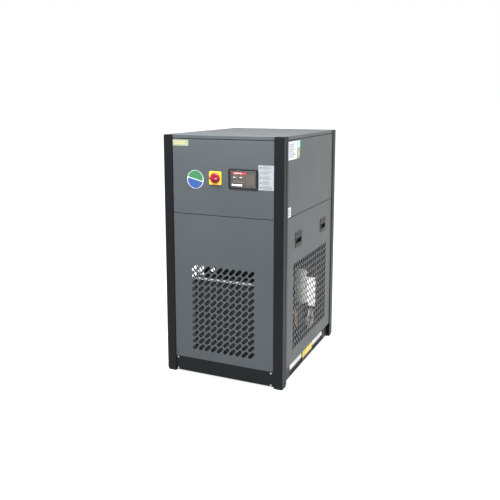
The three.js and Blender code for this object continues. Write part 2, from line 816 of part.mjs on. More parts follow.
// The shroud's plate goes on up to the shelf, so that the fan draws its air through the condenser.
// That upper part leaves the left end open, and has one hole for wires.
function fanShroud() {
  const half = condenserHalf;
  const plate = rectangle(-half, half, condenserLow, condenserHigh);
  plate.holes.push(circle(collarRadius, facets.collar, 0, fanHeight));
  const ring = circle(collarRadius + fanCollar.wall, facets.collar, 0, fanHeight);
  ring.holes.push(circle(collarRadius, facets.collar, 0, fanHeight));
  const shelfLow = shelfTop - shelf.sheet - gap;
  const upper = rectangle(-baffle.left, half, condenserHigh - overrun, shelfLow);
  const holeHeight = condenserHigh + baffle.holeAbove;
  upper.holes.push(circle(baffle.holeRadius, facets.hole, baffle.holeAcross, holeHeight));
  const plateEnd = shroudFront + fanCollar.plate;
  return fuse(
    alongY(plate, shroudFront, plateEnd),
    alongY(upper, shroudFront, plateEnd),
    alongY(ring, shroudFront, collarEnd),
  );
}

const motorFront = collarEnd + gap;

function fanMotorBody() {
  const { radius, depth, shaftRadius, shaftLength, armWidth, armSheet } = fanMotor;
  const body = alongY(circle(radius, facets.vessel, 0, fanHeight), motorFront, motorFront + depth);
  const spindle = circle(shaftRadius, facets.shaft, 0, fanHeight);
  const shaft = alongY(spindle, motorFront - shaftLength, motorFront + overrun);
  const reach = collarRadius + fanCollar.wall;
  const arms = [0, 1].map((i) => {
    const arm = box(-reach, reach, motorFront, motorFront + armSheet, -armWidth / 2, armWidth / 2);
    return arm.rotateY(Math.PI / 4 + (i * Math.PI) / 2).translate(0, 0, fanHeight);
  });
  return fuse(body, shaft, ...arms);
}

function fanImpeller() {
  const hubRear = motorFront - fanHub.toMotor;
  const hubFront = hubRear - fanHub.depth;
  const hub = alongY(circle(fanHub.radius, facets.vessel, 0, fanHeight), hubFront, hubRear);
  const boreCircle = circle(fanHub.bore, facets.shaft, 0, fanHeight);
  const bore = alongY(boreCircle, hubRear - fanHub.boreDepth, hubRear + overrun);
  const blades = [];
  const root = fanHub.radius - fan.rootDepth;
  const halfSheet = fan.bladeSheet / 2;
  const halfBlade = fan.bladeWidth / 2;
  const tip = Math.sqrt(fanRadius ** 2 - halfBlade ** 2);
  for (let i = 0; i < fan.bladeCount; i += 1) {
    const blade = box(root, tip, -halfSheet, halfSheet, -halfBlade, halfBlade);
    blade.rotateX(fan.pitch);
    blade.translate(0, (hubFront + hubRear) / 2, 0);
    blades.push(blade.rotateY((2 * Math.PI * i) / fan.bladeCount).translate(0, 0, fanHeight));
  }
  return cut(fuse(hub, ...blades), bore);
}

addPiece('fan_shroud', fanShroud(), paintedBlack);
addPiece('fan_motor', fanMotorBody(), compressorBlack);
addPiece('fan_impeller', fanImpeller(), aluminium);

// ---------------------------------------------------------------- compressor

const compressorLow = deckTop + gap + compressorFoot.sheet + compressorFoot.standOff;
const suctionX = halfWidth - suction.fromSide;
const suctionY = halfDepth - suction.fromRear;
const dischargeX = halfWidth - discharge.fromSide;

function compressorPort(x, sign) {
  const offset = x - compressorX;
  return sign * Math.sqrt(compressor.radius ** 2 - offset ** 2);
}

const suctionPort = compressorY + compressorPort(suctionX, 1) + refrigerantPipe.stub;
const dischargePort = compressorY + compressorPort(dischargeX, -1) - refrigerantPipe.stub;

// The round top of a vessel, from its wall to its middle.
function domeProfile(radius, height, dome, steps) {
  const profile = [];
  for (let step = 0; step < steps; step += 1) {
    const angle = (step / steps) * (Math.PI / 2);
    profile.push([radius * Math.cos(angle), height - dome + dome * Math.sin(angle)]);
  }
  profile.push([0, height]);
  return profile;
}

function compressorShell() {
  const { radius, height, dome } = compressor;
  const { footInset, footRise } = compressorEdge;
  const footRadius = radius - footInset;
  const profile = [[0, 0], [footRadius, 0]];
  for (let step = 0; step <= footSteps; step += 1) {
    const angle = (step / footSteps) * (Math.PI / 2);
    profile.push([footRadius + footInset * Math.sin(angle), footRise * (1 - Math.cos(angle))]);
  }
  profile.push(...domeProfile(radius, height, dome, shellDomeSteps));
  const shell = turned(profile, facets.shell).translate(compressorX, compressorY, compressorLow);
  return fuse(
    shell,
    stubY(compressorY, suctionPort, suctionX, suction.height),
    stubY(dischargePort, compressorY, dischargeX, discharge.height),
  );
}

function compressorMountPlate() {
  const { margin, sheet, standOff, grommet, grommetInset, corner } = compressorFoot;
  const half = compressor.radius + margin;
  const low = deckTop + gap + standOff;
  const top = low + sheet - gap;
  const plate = alongZ(roundedRectangle(
    compressorX - half,
    compressorX + half,
    compressorY - half,
    compressorY + half,
    corner,
  ), low, top);
  const reach = half - grommetInset;
  const grommets = [[-1, -1], [1, -1], [1, 1], [-1, 1]].map(([signX, signY]) => {
    const ring = circle(grommet, facets.spindle, compressorX + signX * reach, compressorY + signY * reach);
    return alongZ(ring, deckTop + gap, low + overrun);
  });
  return fuse(plate, ...grommets);
}

function compressorTerminalBox() {
  const { width, depth, height, low, corner } = terminalBox;
  const start = compressorX - compressor.radius - gap;
  const z0 = compressorLow + low;
  const face = roundedRectangle(start - width, start, z0, z0 + height, corner);
  return alongY(face, compressorY - depth / 2, compressorY + depth / 2);
}

addPiece('compressor_shell', compressorShell(), compressorBlack);
addPiece('compressor_base', compressorMountPlate(), galvanised);
addPiece('compressor_terminal_box', compressorTerminalBox(), blackPlastic);

// ---------------------------------------------------------------- refrigerant circuit

const drierHeight = deckTop + drier.height;
const receiverStubStart = receiverX - receiver.radius / 2;
const receiverStubEnd = receiverX - receiver.radius - refrigerantPipe.stub;
const liquidStubEnd = receiverX + receiver.radius + refrigerantPipe.stub;

function liquidReceiver() {
  const { radius, height, dome } = receiver;
  const { footInset, footRise } = receiverEdge;
  const profile = [
    [0, 0],
    [radius - footInset, 0],
    [radius, footRise],
    ...domeProfile(radius, height, dome, receiverDomeSteps),
  ];
  return fuse(
    turned(profile, facets.vessel).translate(receiverX, receiverY, deckTop + gap),
    stubX(receiverStubEnd, receiverStubStart, receiverY, drierHeight),
    stubX(receiverX + receiver.radius / 2, liquidStubEnd, receiverY, liquidHeight),
  );
}

function filterDrier() {
  const { radius, neckRadius, neck, cone } = drier;
  const length = receiverStubEnd - 2 * gap;
  return turned([
    [0, 0], [neckRadius, 0], [neckRadius, neck], [radius, neck + cone],
    [radius, length - neck - cone], [neckRadius, length - neck], [neckRadius, length], [0, length],
  ], facets.shaft).rotateY(Math.PI / 2).translate(gap, receiverY, drierHeight);
}

addPiece('liquid_receiver', liquidReceiver(), vesselGrey);
addPiece('filter_drier', filterDrier(), brass);

addPiece('suction_pipe', pipe([
  [gap, suctionY, suction.top],
  [suctionX, suctionY, suction.top],
  [suctionX, suctionY, suction.height],
  [suctionX, suctionPort + gap, suction.height],
]), copper);

addPiece('discharge_pipe', pipe([
  [dischargeX, dischargePort - gap, discharge.height],
  [dischargeX, dischargePort - discharge.forward, discharge.height],
  [dischargeX, dischargePort - discharge.forward, discharge.top],
  [dischargeX, condenserMiddleY, discharge.top],
  [stubEnd + gap, condenserMiddleY, discharge.top],
]), copper);

const liquidX = halfWidth - liquid.fromSide;
addPiece('liquid_pipe', pipe([
  [stubEnd + gap, condenserMiddleY, liquidHeight],
  [liquidX, condenserMiddleY, liquidHeight],
  [liquidX, receiverY, liquidHeight],
  [liquidStubEnd + gap, receiverY, liquidHeight],
]), copper);

// ---------------------------------------------------------------- air circuit

const exchangerHigh = airPipeHeight + exchanger.aboveAirPipes;

function heatExchanger() {
  const outlineTop = roundedRectangle(
    exchangerLeft,
    0,
    exchangerRear - exchanger.depth,
    exchangerRear,
    exchanger.cornerRadius,
  );
  return alongZ(outlineTop, deckTop + gap, exchangerHigh);
}

addPiece('heat_exchanger', heatExchanger(), foam);

// Drawn in the rear panel's place, where the outside is towards -Y.
function airConnection(u) {
  const { radius, bore, collarRadius: collarOut, collar } = airPipe;
  const inner = exchanger.fromRear - panel.inset - gap;
  return turned([
    [bore, -inner], [radius, -inner], [radius, protrusion - collar],
    [collarOut, protrusion - collar], [collarOut, protrusion], [bore, protrusion], [bore, -inner],
  ], facets.vessel).rotateX(Math.PI / 2).translate(u, 0, airPipeHeight);
}

addPiece('air_inlet_pipe', airConnection(airPipePlaces.inlet), brass, rear);
addPiece('air_outlet_pipe', airConnection(airPipePlaces.outlet), brass, rear);

const drainY = halfDepth - drain.fromRear;
const drainTop = deckTop + gap + drain.height;
const valveX = drain.across;
const valveY = drainY + drain.depth / 2 + gap;
const valveZ = deckTop + ballValve.height;

function condensateDrain() {
  return alongZ(roundedRectangle(
    drain.across - drain.width / 2,
    drain.across + drain.width / 2,
    drainY - drain.depth / 2,
    drainY + drain.depth / 2,
    drain.cornerRadius,
  ), deckTop + gap, drainTop);
}

const leverY = valveY + ballValve.length / 2;
const leverLow = drainTop + lever.aboveDrain;

function drainBallValve() {
  const { radius, neckRadius, neck, cone, length, stem } = ballValve;
  const body = turned([
    [0, 0], [neckRadius, 0], [neckRadius, neck], [radius, neck + cone],
    [radius, length - neck - cone], [neckRadius, length - neck], [neckRadius, length], [0, length],
  ], facets.valve).rotateX(-Math.PI / 2).translate(valveX, valveY, valveZ);
  const spindle = alongZ(circle(stem, facets.stem, valveX, leverY), valveZ, leverLow - gap);
  return fuse(body, spindle);
}

function valveLever() {
  const { length, width, thickness, corner } = lever;
  const half = width / 2;
  const bar = roundedRectangle(valveX - half, valveX + length, leverY - half, leverY + half, corner);
  return alongZ(bar, leverLow, leverLow + thickness);
}

addPiece('condensate_drain', condensateDrain(), blackPlastic);
addPiece('drain_ball_valve', drainBallValve(), brass);
addPiece('drain_valve_lever', valveLever(), redPlastic);

const drainPipeY = drainY - drainPipe.forward;
addPiece('drain_pipe', pipe([
  [gap, drainPipeY, drainPipe.height],
  [drain.across, drainPipeY, drainPipe.height],
  [drain.across, drainPipeY, drainTop + gap],
]), copper);

export default dryer;
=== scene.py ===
"""Looks of the refrigerated air dryer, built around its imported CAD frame. +Z up, front towards -Y.

Pieces are drawn in millimetres and turned into metres as their mesh is made. The stage is in metres."""
import json
import math
import random

import bmesh
import bpy
from mathutils import Matrix, Vector


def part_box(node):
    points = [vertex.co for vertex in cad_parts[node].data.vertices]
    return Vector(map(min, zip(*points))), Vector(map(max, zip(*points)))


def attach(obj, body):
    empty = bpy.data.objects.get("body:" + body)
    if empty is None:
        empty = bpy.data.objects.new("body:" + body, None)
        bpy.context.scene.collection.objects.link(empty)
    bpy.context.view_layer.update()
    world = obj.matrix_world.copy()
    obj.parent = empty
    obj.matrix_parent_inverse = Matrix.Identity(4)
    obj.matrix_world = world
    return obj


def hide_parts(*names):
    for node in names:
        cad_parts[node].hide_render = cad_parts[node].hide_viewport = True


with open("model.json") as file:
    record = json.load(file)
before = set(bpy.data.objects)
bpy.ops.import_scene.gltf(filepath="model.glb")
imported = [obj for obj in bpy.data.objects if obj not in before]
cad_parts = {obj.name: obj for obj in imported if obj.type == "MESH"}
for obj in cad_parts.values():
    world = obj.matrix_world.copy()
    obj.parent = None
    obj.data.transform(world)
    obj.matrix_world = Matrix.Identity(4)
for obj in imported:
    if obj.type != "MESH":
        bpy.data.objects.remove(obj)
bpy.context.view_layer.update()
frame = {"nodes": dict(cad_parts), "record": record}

MM = 0.001
FRONT, RIGHT, REAR, LEFT = range(4)
SIDE_NUMBER = {"front": FRONT, "right": RIGHT, "rear": REAR, "left": LEFT}
CABINET = "cabinet"


# ------------------------------------------------------------------ places

def corners(node):
    """A CAD node's lowest and highest corners in millimetres."""
    return [Vector(corner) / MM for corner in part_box(node)]


def side_matrix(side):
    """Takes (across, up, outward), as seen from outside that side, to the cabinet's own axes."""
    drawn = Matrix(((1, 0, 0, 0), (0, 0, -1, 0), (0, 1, 0, 0), (0, 0, 0, 1)))
    return Matrix.Rotation(side * math.pi / 2, 4, "Z") @ drawn


def side_box(node, side):
    """A node's box as (across, up, outward) low and high corners, as seen from outside that side."""
    back = side_matrix(side).inverted()
    turned = [back @ corner for corner in corners(node)]
    low = Vector([min(a, b) for a, b in zip(*turned)])
    high = Vector([max(a, b) for a, b in zip(*turned)])
    return low, high


def middle(node):
    return sum(corners(node), Vector()) / 2


# ------------------------------------------------------------------ materials

class Shader:
    """A Principled shader in a new material, and the nodes that feed it."""

    def __init__(self, name, roughness=0.5, metallic=0.0, **constants):
        self.material = bpy.data.materials.new(name)
        self.material.use_nodes = True
        self.tree = self.material.node_tree
        self.bsdf = self.tree.nodes["Principled BSDF"]
        self.set("Roughness", roughness)
        self.set("Metallic", metallic)
        for key, value in constants.items():
            self.set(key.replace("_", " "), value)
        self.place = self.node("ShaderNodeTexCoord").outputs["Object"]

    def node(self, kind, **settings):
        made = self.tree.nodes.new(kind)
        for key, value in settings.items():
            setattr(made, key, value)
        return made

    def link(self, source, target):
        self.tree.links.new(source, target)

    def set(self, key, value):
        self.bsdf.inputs[key].default_value = value

    def stretched(self, scale):
        mapping = self.node("ShaderNodeMapping")
        mapping.inputs["Scale"].default_value = scale
        self.link(self.place, mapping.inputs["Vector"])
        return mapping.outputs["Vector"]

    def noise(self, scale, detail=3.0, vector=None, roughness=0.5):
        texture = self.node("ShaderNodeTexNoise")
        texture.inputs["Scale"].default_value = scale
        texture.inputs["Detail"].default_value = detail
        texture.inputs["Roughness"].default_value = roughness
        self.link(vector or self.place, texture.inputs["Vector"])
        return texture.outputs["Fac"]

    def cells(self, scale, output="Color", vector=None):
        texture = self.node("ShaderNodeTexVoronoi")
        texture.inputs["Scale"].default_value = scale
        self.link(vector or self.place, texture.inputs["Vector"])
        return texture.outputs[output]

    def spread(self, source, low, high, source_low=0.3, source_high=0.7):
        ranged = self.node("ShaderNodeMapRange")
        limits = {"From Min": source_low, "From Max": source_high, "To Min": low, "To Max": high}
        for key, value in limits.items():
            ranged.inputs[key].default_value = value
        self.link(source, ranged.inputs["Value"])
        return ranged.outputs["Result"]

    def blend(self, factor, first, second):
        """Mixes two colours, each a constant or a socket."""
        mix = self.node("ShaderNodeMix", data_type="RGBA")
        self.link(factor, mix.inputs["Factor"])
        for key, colour in (("A", first), ("B", second)):
            socket = [i for i in mix.inputs if i.name == key and i.type == "RGBA"][0]
            if isinstance(colour, tuple):
                socket.default_value = (*colour, 1.0)
            else:
                self.link(colour, socket)
        return [o for o in mix.outputs if o.type == "RGBA"][0]

    def colour(self, source):
        self.link(source, self.bsdf.inputs["Base Color"])

    def rough(self, source):
        self.link(source, self.bsdf.inputs["Roughness"])

    def bump(self, height, strength, distance):
        node = self.node("ShaderNodeBump")
        node.inputs["Strength"].default_value = strength
        node.inputs["Distance"].default_value = distance
        self.link(height, node.inputs["Height"])
        self.link(node.outputs["Normal"], self.bsdf.inputs["Normal"])


def shaded(colour, factor):
    return tuple(channel * factor for channel in colour)


def powder_coat(name, colour, roughness=0.42, gloss=0.5):
    """Satin powder coat: fine orange peel, faint cloudiness and a little dust."""
    shader = Shader(name, roughness, Specular_IOR_Level=gloss)
    clouds = shader.noise(2.3, 4.0)
    tone = shader.blend(shader.spread(clouds, 0.0, 1.0), shaded(colour, 0.95), shaded(colour, 1.05))
    specks = shader.spread(shader.noise(620.0, 2.0), 0.0, 0.5, 0.55, 0.8)
    shader.colour(shader.blend(specks, tone, shaded(colour, 1.25)))
    shader.rough(shader.spread(shader.noise(5.0, 3.0), roughness - 0.015, roughness + 0.025))
    shader.bump(shader.noise(520.0, 2.0), 0.12, 0.0004)
    return shader.material


def moulded_plastic(name, colour, roughness=0.45, grain=1500.0, strength=0.15, gloss=0.5):
    """Moulded plastic with a fine grain and slightly uneven gloss."""
    shader = Shader(name, roughness, Specular_IOR_Level=gloss)
    patches = shader.noise(14.0, 4.0)
    shader.colour(shader.blend(shader.spread(patches, 0.0, 1.0), shaded(colour, 0.9), shaded(colour, 1.1)))
    shader.rough(shader.spread(shader.noise(60.0, 4.0), roughness - 0.06, roughness + 0.08))
    shader.bump(shader.noise(grain, 2.0), strength, 0.0003)
    return shader.material


def galvanised_sheet():
    """Zinc spangle over steel sheet."""
    shader = Shader("galvanised", 0.4, 0.85)
    spangle = shader.noise(1.0, 0.0, shader.cells(70.0))
    tone = shader.blend(shader.spread(spangle, 0.0, 1.0), (0.42, 0.44, 0.45), (0.66, 0.68, 0.7))
    dull = shader.spread(shader.noise(6.0, 5.0), 0.0, 0.6, 0.45, 0.75)
    shader.colour(shader.blend(dull, tone, (0.4, 0.4, 0.39)))
    shader.rough(shader.spread(spangle, 0.3, 0.5))
    shader.bump(shader.noise(240.0, 3.0), 0.1, 0.0003)
    return shader.material


def worn_metal(name, colour, tarnish, roughness, amount=0.5, scale=18.0, metallic=0.95):
    """Bare metal with patches of tarnish and fine drawing marks."""
    shader = Shader(name, roughness, metallic)
    patches = shader.spread(shader.noise(scale, 6.0, roughness=0.65), 0.0, amount, 0.4, 0.72)
    shader.colour(shader.blend(patches, colour, tarnish))
    shader.rough(shader.spread(shader.noise(scale * 4, 5.0), roughness - 0.08, roughness + 0.15))
    shader.bump(shader.noise(700.0, 3.0), 0.08, 0.0002)
    return shader.material


def insulation_foam():
    """Closed-cell rubber foam: matt, faintly pocked, with patches of dust."""
    shader = Shader("foam", 0.9, Specular_IOR_Level=0.2)
    dust = shader.spread(shader.noise(11.0, 6.0), 0.0, 0.5, 0.5, 0.85)
    shader.colour(shader.blend(dust, (0.005, 0.005, 0.0055), (0.018, 0.0175, 0.0165)))
    shader.rough(shader.spread(shader.noise(30.0, 4.0), 0.82, 0.95))
    shader.bump(shader.cells(260.0, "Distance"), 0.35, 0.0008)
    return shader.material


def screen_cover():
    """The touch screen's dark cover: glossy, with a soft brown sheen painted into its colour as a painted
    reflection, and faint finger marks.
    """
    shader = Shader("screen_glass", 0.12, Coat_Weight=0.6, Coat_Roughness=0.05)
    # painted reflection: broad lighter brown streaks in the base colour stand for a sheen on the glass
    sweep = shader.spread(shader.noise(9.0, 2.0, shader.stretched((1.0, 1.0, 0.35))), 0.0, 1.0, 0.35, 0.7)
    shader.colour(shader.blend(sweep, (0.012, 0.010, 0.010), (0.035, 0.027, 0.022)))
    shader.rough(shader.spread(shader.noise(45.0, 5.0), 0.08, 0.24, 0.45, 0.75))
    return shader.material


def printed_film(name, colour, roughness=0.4):
    """Printed vinyl film with slight ink mottling."""
    shader = Shader(name, roughness)
    mottle = shader.noise(160.0, 4.0)
    shader.colour(shader.blend(shader.spread(mottle, 0.0, 1.0), shaded(colour, 0.93), shaded(colour, 1.0)))
    shader.rough(shader.spread(shader.noise(35.0, 3.0), roughness - 0.05, roughness + 0.1))
    shader.bump(shader.noise(900.0, 2.0), 0.05, 0.0002)
    return shader.material


def matt_rubber():
    shader = Shader("rubber", 0.85)
    scuffs = shader.spread(shader.noise(40.0, 6.0), 0.0, 0.6, 0.5, 0.8)
    shader.colour(shader.blend(scuffs, (0.012, 0.012, 0.012), (0.05, 0.048, 0.045)))
    shader.rough(shader.spread(shader.noise(70.0, 4.0), 0.75, 0.95))
    shader.bump(shader.noise(420.0, 4.0), 0.3, 0.0005)
    return shader.material


MATERIALS = {
    "painted_grey": powder_coat("painted_grey", (0.045, 0.050, 0.0516), 0.42, 0.2),
    "painted_black": powder_coat("painted_black", (0.0062, 0.0062, 0.0066), 0.34, 0.09),
    "compressor_black": powder_coat("compressor_black", (0.008, 0.008, 0.009), 0.35, 0.35),
    "vessel_grey": powder_coat("vessel_grey", (0.7, 0.7, 0.66), 0.5, 0.3),
    "galvanised": galvanised_sheet(),
    "bright_sheet": worn_metal("bright_sheet", (0.7, 0.7, 0.69), (0.6, 0.6, 0.6), 0.5, 0.4, 30.0, 0.25),
    "aluminium": worn_metal("aluminium", (0.66, 0.67, 0.68), (0.4, 0.4, 0.4), 0.38),
    "fin_stock": worn_metal("fin_stock", (0.105, 0.105, 0.105), (0.07, 0.07, 0.07), 0.55, 0.8, 9.0, 0.2),
    "screw_steel": worn_metal("screw_steel", (0.72, 0.72, 0.71), (0.45, 0.44, 0.42), 0.3, 0.3, 90.0),
    "copper": worn_metal("copper", (0.72, 0.29, 0.15), (0.28, 0.12, 0.07), 0.32, 0.75),
    "dull_copper": worn_metal("dull_copper", (0.14, 0.075, 0.05), (0.06, 0.04, 0.032), 0.45, 0.9, 18.0, 0.8),
    "brass": worn_metal("brass", (0.62, 0.46, 0.19), (0.35, 0.25, 0.1), 0.35, 0.6, 30.0),
    "foam": insulation_foam(),
    "rubber": matt_rubber(),
    "black_plastic": moulded_plastic("black_plastic", (0.007, 0.007, 0.0075), 0.42, gloss=0.2),
    "grey_plastic": moulded_plastic("grey_plastic", (0.22, 0.23, 0.24), 0.5),
    "yellow_plastic": moulded_plastic("yellow_plastic", (0.84, 0.42, 0.008), 0.33, 900.0, 0.05),
    "red_plastic": moulded_plastic("red_plastic", (0.18, 0.003, 0.014), 0.4, 900.0, 0.05, 0.3),
    "screen_glass": screen_cover(),
    "label": printed_film("label", (0.42, 0.435, 0.45)),
}
FILMS = {
    "cream": printed_film("film_cream", (0.19, 0.205, 0.125)),
    "grey_white": printed_film("film_grey_white", (0.225, 0.23, 0.237)),
    "yellow": printed_film("film_yellow", (0.62, 0.46, 0.02)),
    "green": printed_film("film_green", (0.023, 0.115, 0.038)),
    "pale_green": printed_film("film_pale_green", (0.25, 0.52, 0.42)),
    "blue": printed_film("film_blue", (0.012, 0.045, 0.165)),
    "ink": printed_film("film_ink", (0.03, 0.03, 0.035)),
    "grey_ink": printed_film("film_grey_ink", (0.05, 0.05, 0.06)),
    "pale_ink": printed_film("film_pale_ink", (0.085, 0.088, 0.1)),
    "amber_ink": printed_film("film_amber_ink", (0.35, 0.27, 0.12)),
    "display_red": printed_film("display_red", (0.62, 0.02, 0.03), 0.2),
    "display_white": printed_film("display_white", (0.78, 0.76, 0.74), 0.2),
    "display_grey": printed_film("display_grey", (0.055, 0.05, 0.045), 0.2),
    "display_brown": printed_film("display_brown", (0.06, 0.047, 0.037), 0.2),
}
FINISHES = MATERIALS | FILMS


# ------------------------------------------------------------------ pieces

def bevel(obj, width, segments=2):
    """Rounds the sharp edges by a width in millimetres."""
    modifier = obj.modifiers.new("bevel", "BEVEL")
    modifier.width = width * MM
    modifier.segments = segments
    modifier.limit_method = "ANGLE"
    modifier.angle_limit = math.radians(40)


def dress(node, width=0.8, segments=2):
    """Gives a CAD node its finish and softens its edges."""
    obj = frame["nodes"][node]
    slot = next(s["material_slot"] for s in frame["record"]["subparts"] if s["node"] == node)
    obj.data.materials.clear()
    obj.data.materials.append(MATERIALS[slot])
    weld = obj.modifiers.new("weld", "WELD")
    weld.merge_threshold = 0.01 * MM
    bevel(obj, width, segments)


def piece(name, shape, finish, body=CABINET, replaces=(), edge=0.0, angle=32.0):
    """Puts a shape in the scene as a piece that rides on a body."""
    mesh = shape.mesh(name)
    for polygon in mesh.polygons:
        polygon.use_smooth = True
    mesh.set_sharp_from_angle(angle=math.radians(angle))
    mesh.materials.append(FINISHES[finish])
    obj = bpy.data.objects.new(name, mesh)
    bpy.context.scene.collection.objects.link(obj)
    if edge > 0:
        bevel(obj, edge)
    normals = obj.modifiers.new("normals", "WEIGHTED_NORMAL")
    normals.keep_sharp = True
    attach(obj, body)
    if replaces:
        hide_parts(*replaces)


class Shape:
    """A solid put together from simple ones, in millimetres and in its own coordinates."""

    def __init__(self, matrix=None):
        self.bm = bmesh.new()
        self.matrix = matrix or Matrix.Identity(4)

    def placed(self, vertices):
        bmesh.ops.transform(self.bm, matrix=self.matrix, verts=vertices)
        return self

    def box(self, low, high):
        size = [b - a for a, b in zip(low, high)]
        centre = [(a + b) / 2 for a, b in zip(low, high)]
        matrix = Matrix.Translation(centre) @ Matrix.Diagonal((*size, 1))
        made = bmesh.ops.create_cube(self.bm, size=1.0, matrix=matrix)
        return self.placed(made["verts"])

    def ring(self, place, sides):
        """New corners at equal angles. place gives the point for an angle's cosine and sine."""
        angles = [2 * math.pi * i / sides for i in range(sides)]
        return [self.bm.verts.new(place(math.cos(a), math.sin(a))) for a in angles]

    def lathe(self, profile, matrix=None, sides=40):
        """Turns [radius, height] pairs about the local Z axis. Ends on the axis are closed to a point."""
        matrix = matrix or Matrix.Identity(4)
        rings = []
        for radius, height in profile:
            rings.append(self.ring(lambda c, s: matrix @ Vector((radius * c, radius * s, height)),
                                   sides if radius else 1))
        for lower, upper in zip(rings, rings[1:]):
            for i in range(sides):
                j = (i + 1) % sides
                unique = list(dict.fromkeys((lower[i % len(lower)], lower[j % len(lower)],
                                             upper[j % len(upper)], upper[i % len(upper)])))
                if len(unique) > 2:
                    self.bm.faces.new(unique)
        if profile[0] == profile[-1]:
            bmesh.ops.remove_doubles(self.bm, verts=rings[0] + rings[-1], dist=1e-4)
        return self.placed(list({v for ring in rings for v in ring if v.is_valid}))

    def rod(self, start, end, radius, sides=16, rim=0.0):
        """A round bar between two points, with chamfered ends."""
        start, end = Vector(start), Vector(end)
        length = (end - start).length
        turn = (end - start).to_track_quat("Z", "Y").to_matrix().to_4x4()
        side = [(radius, 0), (radius, length)]
        if rim > 0:
            side = [(radius - rim, 0), (radius, rim), (radius, length - rim), (radius - rim, length)]
        return self.lathe([(0, 0), *side, (0, length)], Matrix.Translation(start) @ turn, sides)

    def tube(self, points, radius, bend, sides=16, steps=8):
        """A round bar along straight runs with round bends. With no steps it has no bends."""
        route = bent_route(points, bend, steps)
        rings = []
        normal = None
        for i, point in enumerate(route):
            heading = (route[min(i + 1, len(route) - 1)] - route[max(i - 1, 0)]).normalized()
            if normal is None:
                normal = heading.orthogonal().normalized()
            normal = (normal - heading * normal.dot(heading)).normalized()
            side = heading.cross(normal)
            rings.append(self.ring(lambda c, s: point + normal * (radius * c) + side * (radius * s), sides))
        for lower, upper in zip(rings, rings[1:]):
            for i in range(sides):
                j = (i + 1) % sides
                self.bm.faces.new((lower[i], lower[j], upper[j], upper[i]))
        self.bm.faces.new(reversed(rings[0]))
        self.bm.faces.new(rings[-1])
        return self.placed([v for ring in rings for v in ring])

    def slab(self, loops, low, high, edge=0.0, matrix=None):
        """A plate between two levels of the local Z axis. The first loop is its outline, the rest holes."""
        mesh = plate_mesh(loops, high - low, edge)
        mesh.transform((matrix or Matrix.Identity(4)) @ Matrix.Translation((0, 0, (low + high) / 2)))
        before = set(self.bm.verts)
        self.bm.from_mesh(mesh)
        bpy.data.meshes.remove(mesh)
        return self.placed([v for v in self.bm.verts if v not in before])

    def mesh(self, name):
        bmesh.ops.recalc_face_normals(self.bm, faces=self.bm.faces)
        mesh = bpy.data.meshes.new(name)
        self.bm.to_mesh(mesh)
        self.bm.free()
        mesh.transform(Matrix.Scale(MM, 4))
        return mesh


def bent_route(points, bend, steps):
    points = [Vector(p) for p in points]
    if steps == 0:
        return points
    route = [points[0]]
    for before, corner, after in zip(points, points[1:], points[2:]):
        inward = (corner - before).normalized()
        outward = (after - corner).normalized()
        reach = min(bend, (corner - before).length / 2, (after - corner).length / 2)
        centre = corner - inward * reach + outward * reach
        for step in range(steps + 1):
            angle = step / steps * math.pi / 2
            route.append(centre + reach * (inward * math.sin(angle) - outward * math.cos(angle)))
    route.append(points[-1])
    return route


def plate_mesh(loops, thickness, edge=0.0):
    """A flat plate with holes and rounded edges, centred on z = 0, from closed loops of (x, y)."""
    curve = bpy.data.curves.new("plate", "CURVE")
    curve.dimensions = "2D"
    curve.fill_mode = "BOTH"
    curve.extrude = thickness / 2 - edge
    curve.bevel_depth = edge
    curve.bevel_resolution = 1
    curve.offset = -edge
    for loop in loops:
        spline = curve.splines.new("POLY")
        spline.points.add(len(loop) - 1)
        spline.points.foreach_set("co", [c for x, y in loop for c in (x, y, 0.0, 1.0)])
        spline.use_cyclic_u = True
    obj = bpy.data.objects.new("plate", curve)
    mesh = bpy.data.meshes.new_from_object(obj)
    bpy.data.objects.remove(obj)
    bpy.data.curves.remove(curve)
    return mesh


def rectangle(u0, u1, v0, v1):
    return [(u0, v0), (u1, v0), (u1, v1), (u0, v1)]


def rounded(u0, u1, v0, v1, radius, steps=6):
    loop = []
    for k, (u, v, su, sv) in enumerate(((u1, v0, -1, 1), (u1, v1, -1, -1), (u0, v1, 1, -1), (u0, v0, 1, 1))):
        for step in range(steps + 1):
            angle = (k - 1 + step / steps) * math.pi / 2
            loop.append((u + radius * (su + math.cos(angle)), v + radius * (sv + math.sin(angle))))
    return loop


def circle(radius, u=0.0, v=0.0, sides=40, start=0.0, end=2 * math.pi):
    """A circle, or an arc with both its ends."""
    closed = abs(end - start - 2 * math.pi) < 1e-6
    angles = [start + (end - start) * i / sides for i in range(sides if closed else sides + 1)]
    return [(u + radius * math.cos(a), v + radius * math.sin(a)) for a in angles]


def leaning_slot(u, v, length, width, lean=math.pi / 4, steps=6):
    """A round-ended slot whose long axis leans to the right."""
    along = Vector((math.sin(lean), math.cos(lean)))
    across = Vector((math.cos(lean), -math.sin(lean)))
    radius = width / 2
    loop = []
    for end in (1, -1):
        centre = Vector((u, v)) + along * (end * (length / 2 - radius))
        for step in range(steps + 1):
            angle = math.pi * step / steps
            offset = across * (end * math.cos(angle)) + along * (end * math.sin(angle))
            loop.append(tuple(centre + offset * radius))
    return loop


# ------------------------------------------------------------------ frame and base

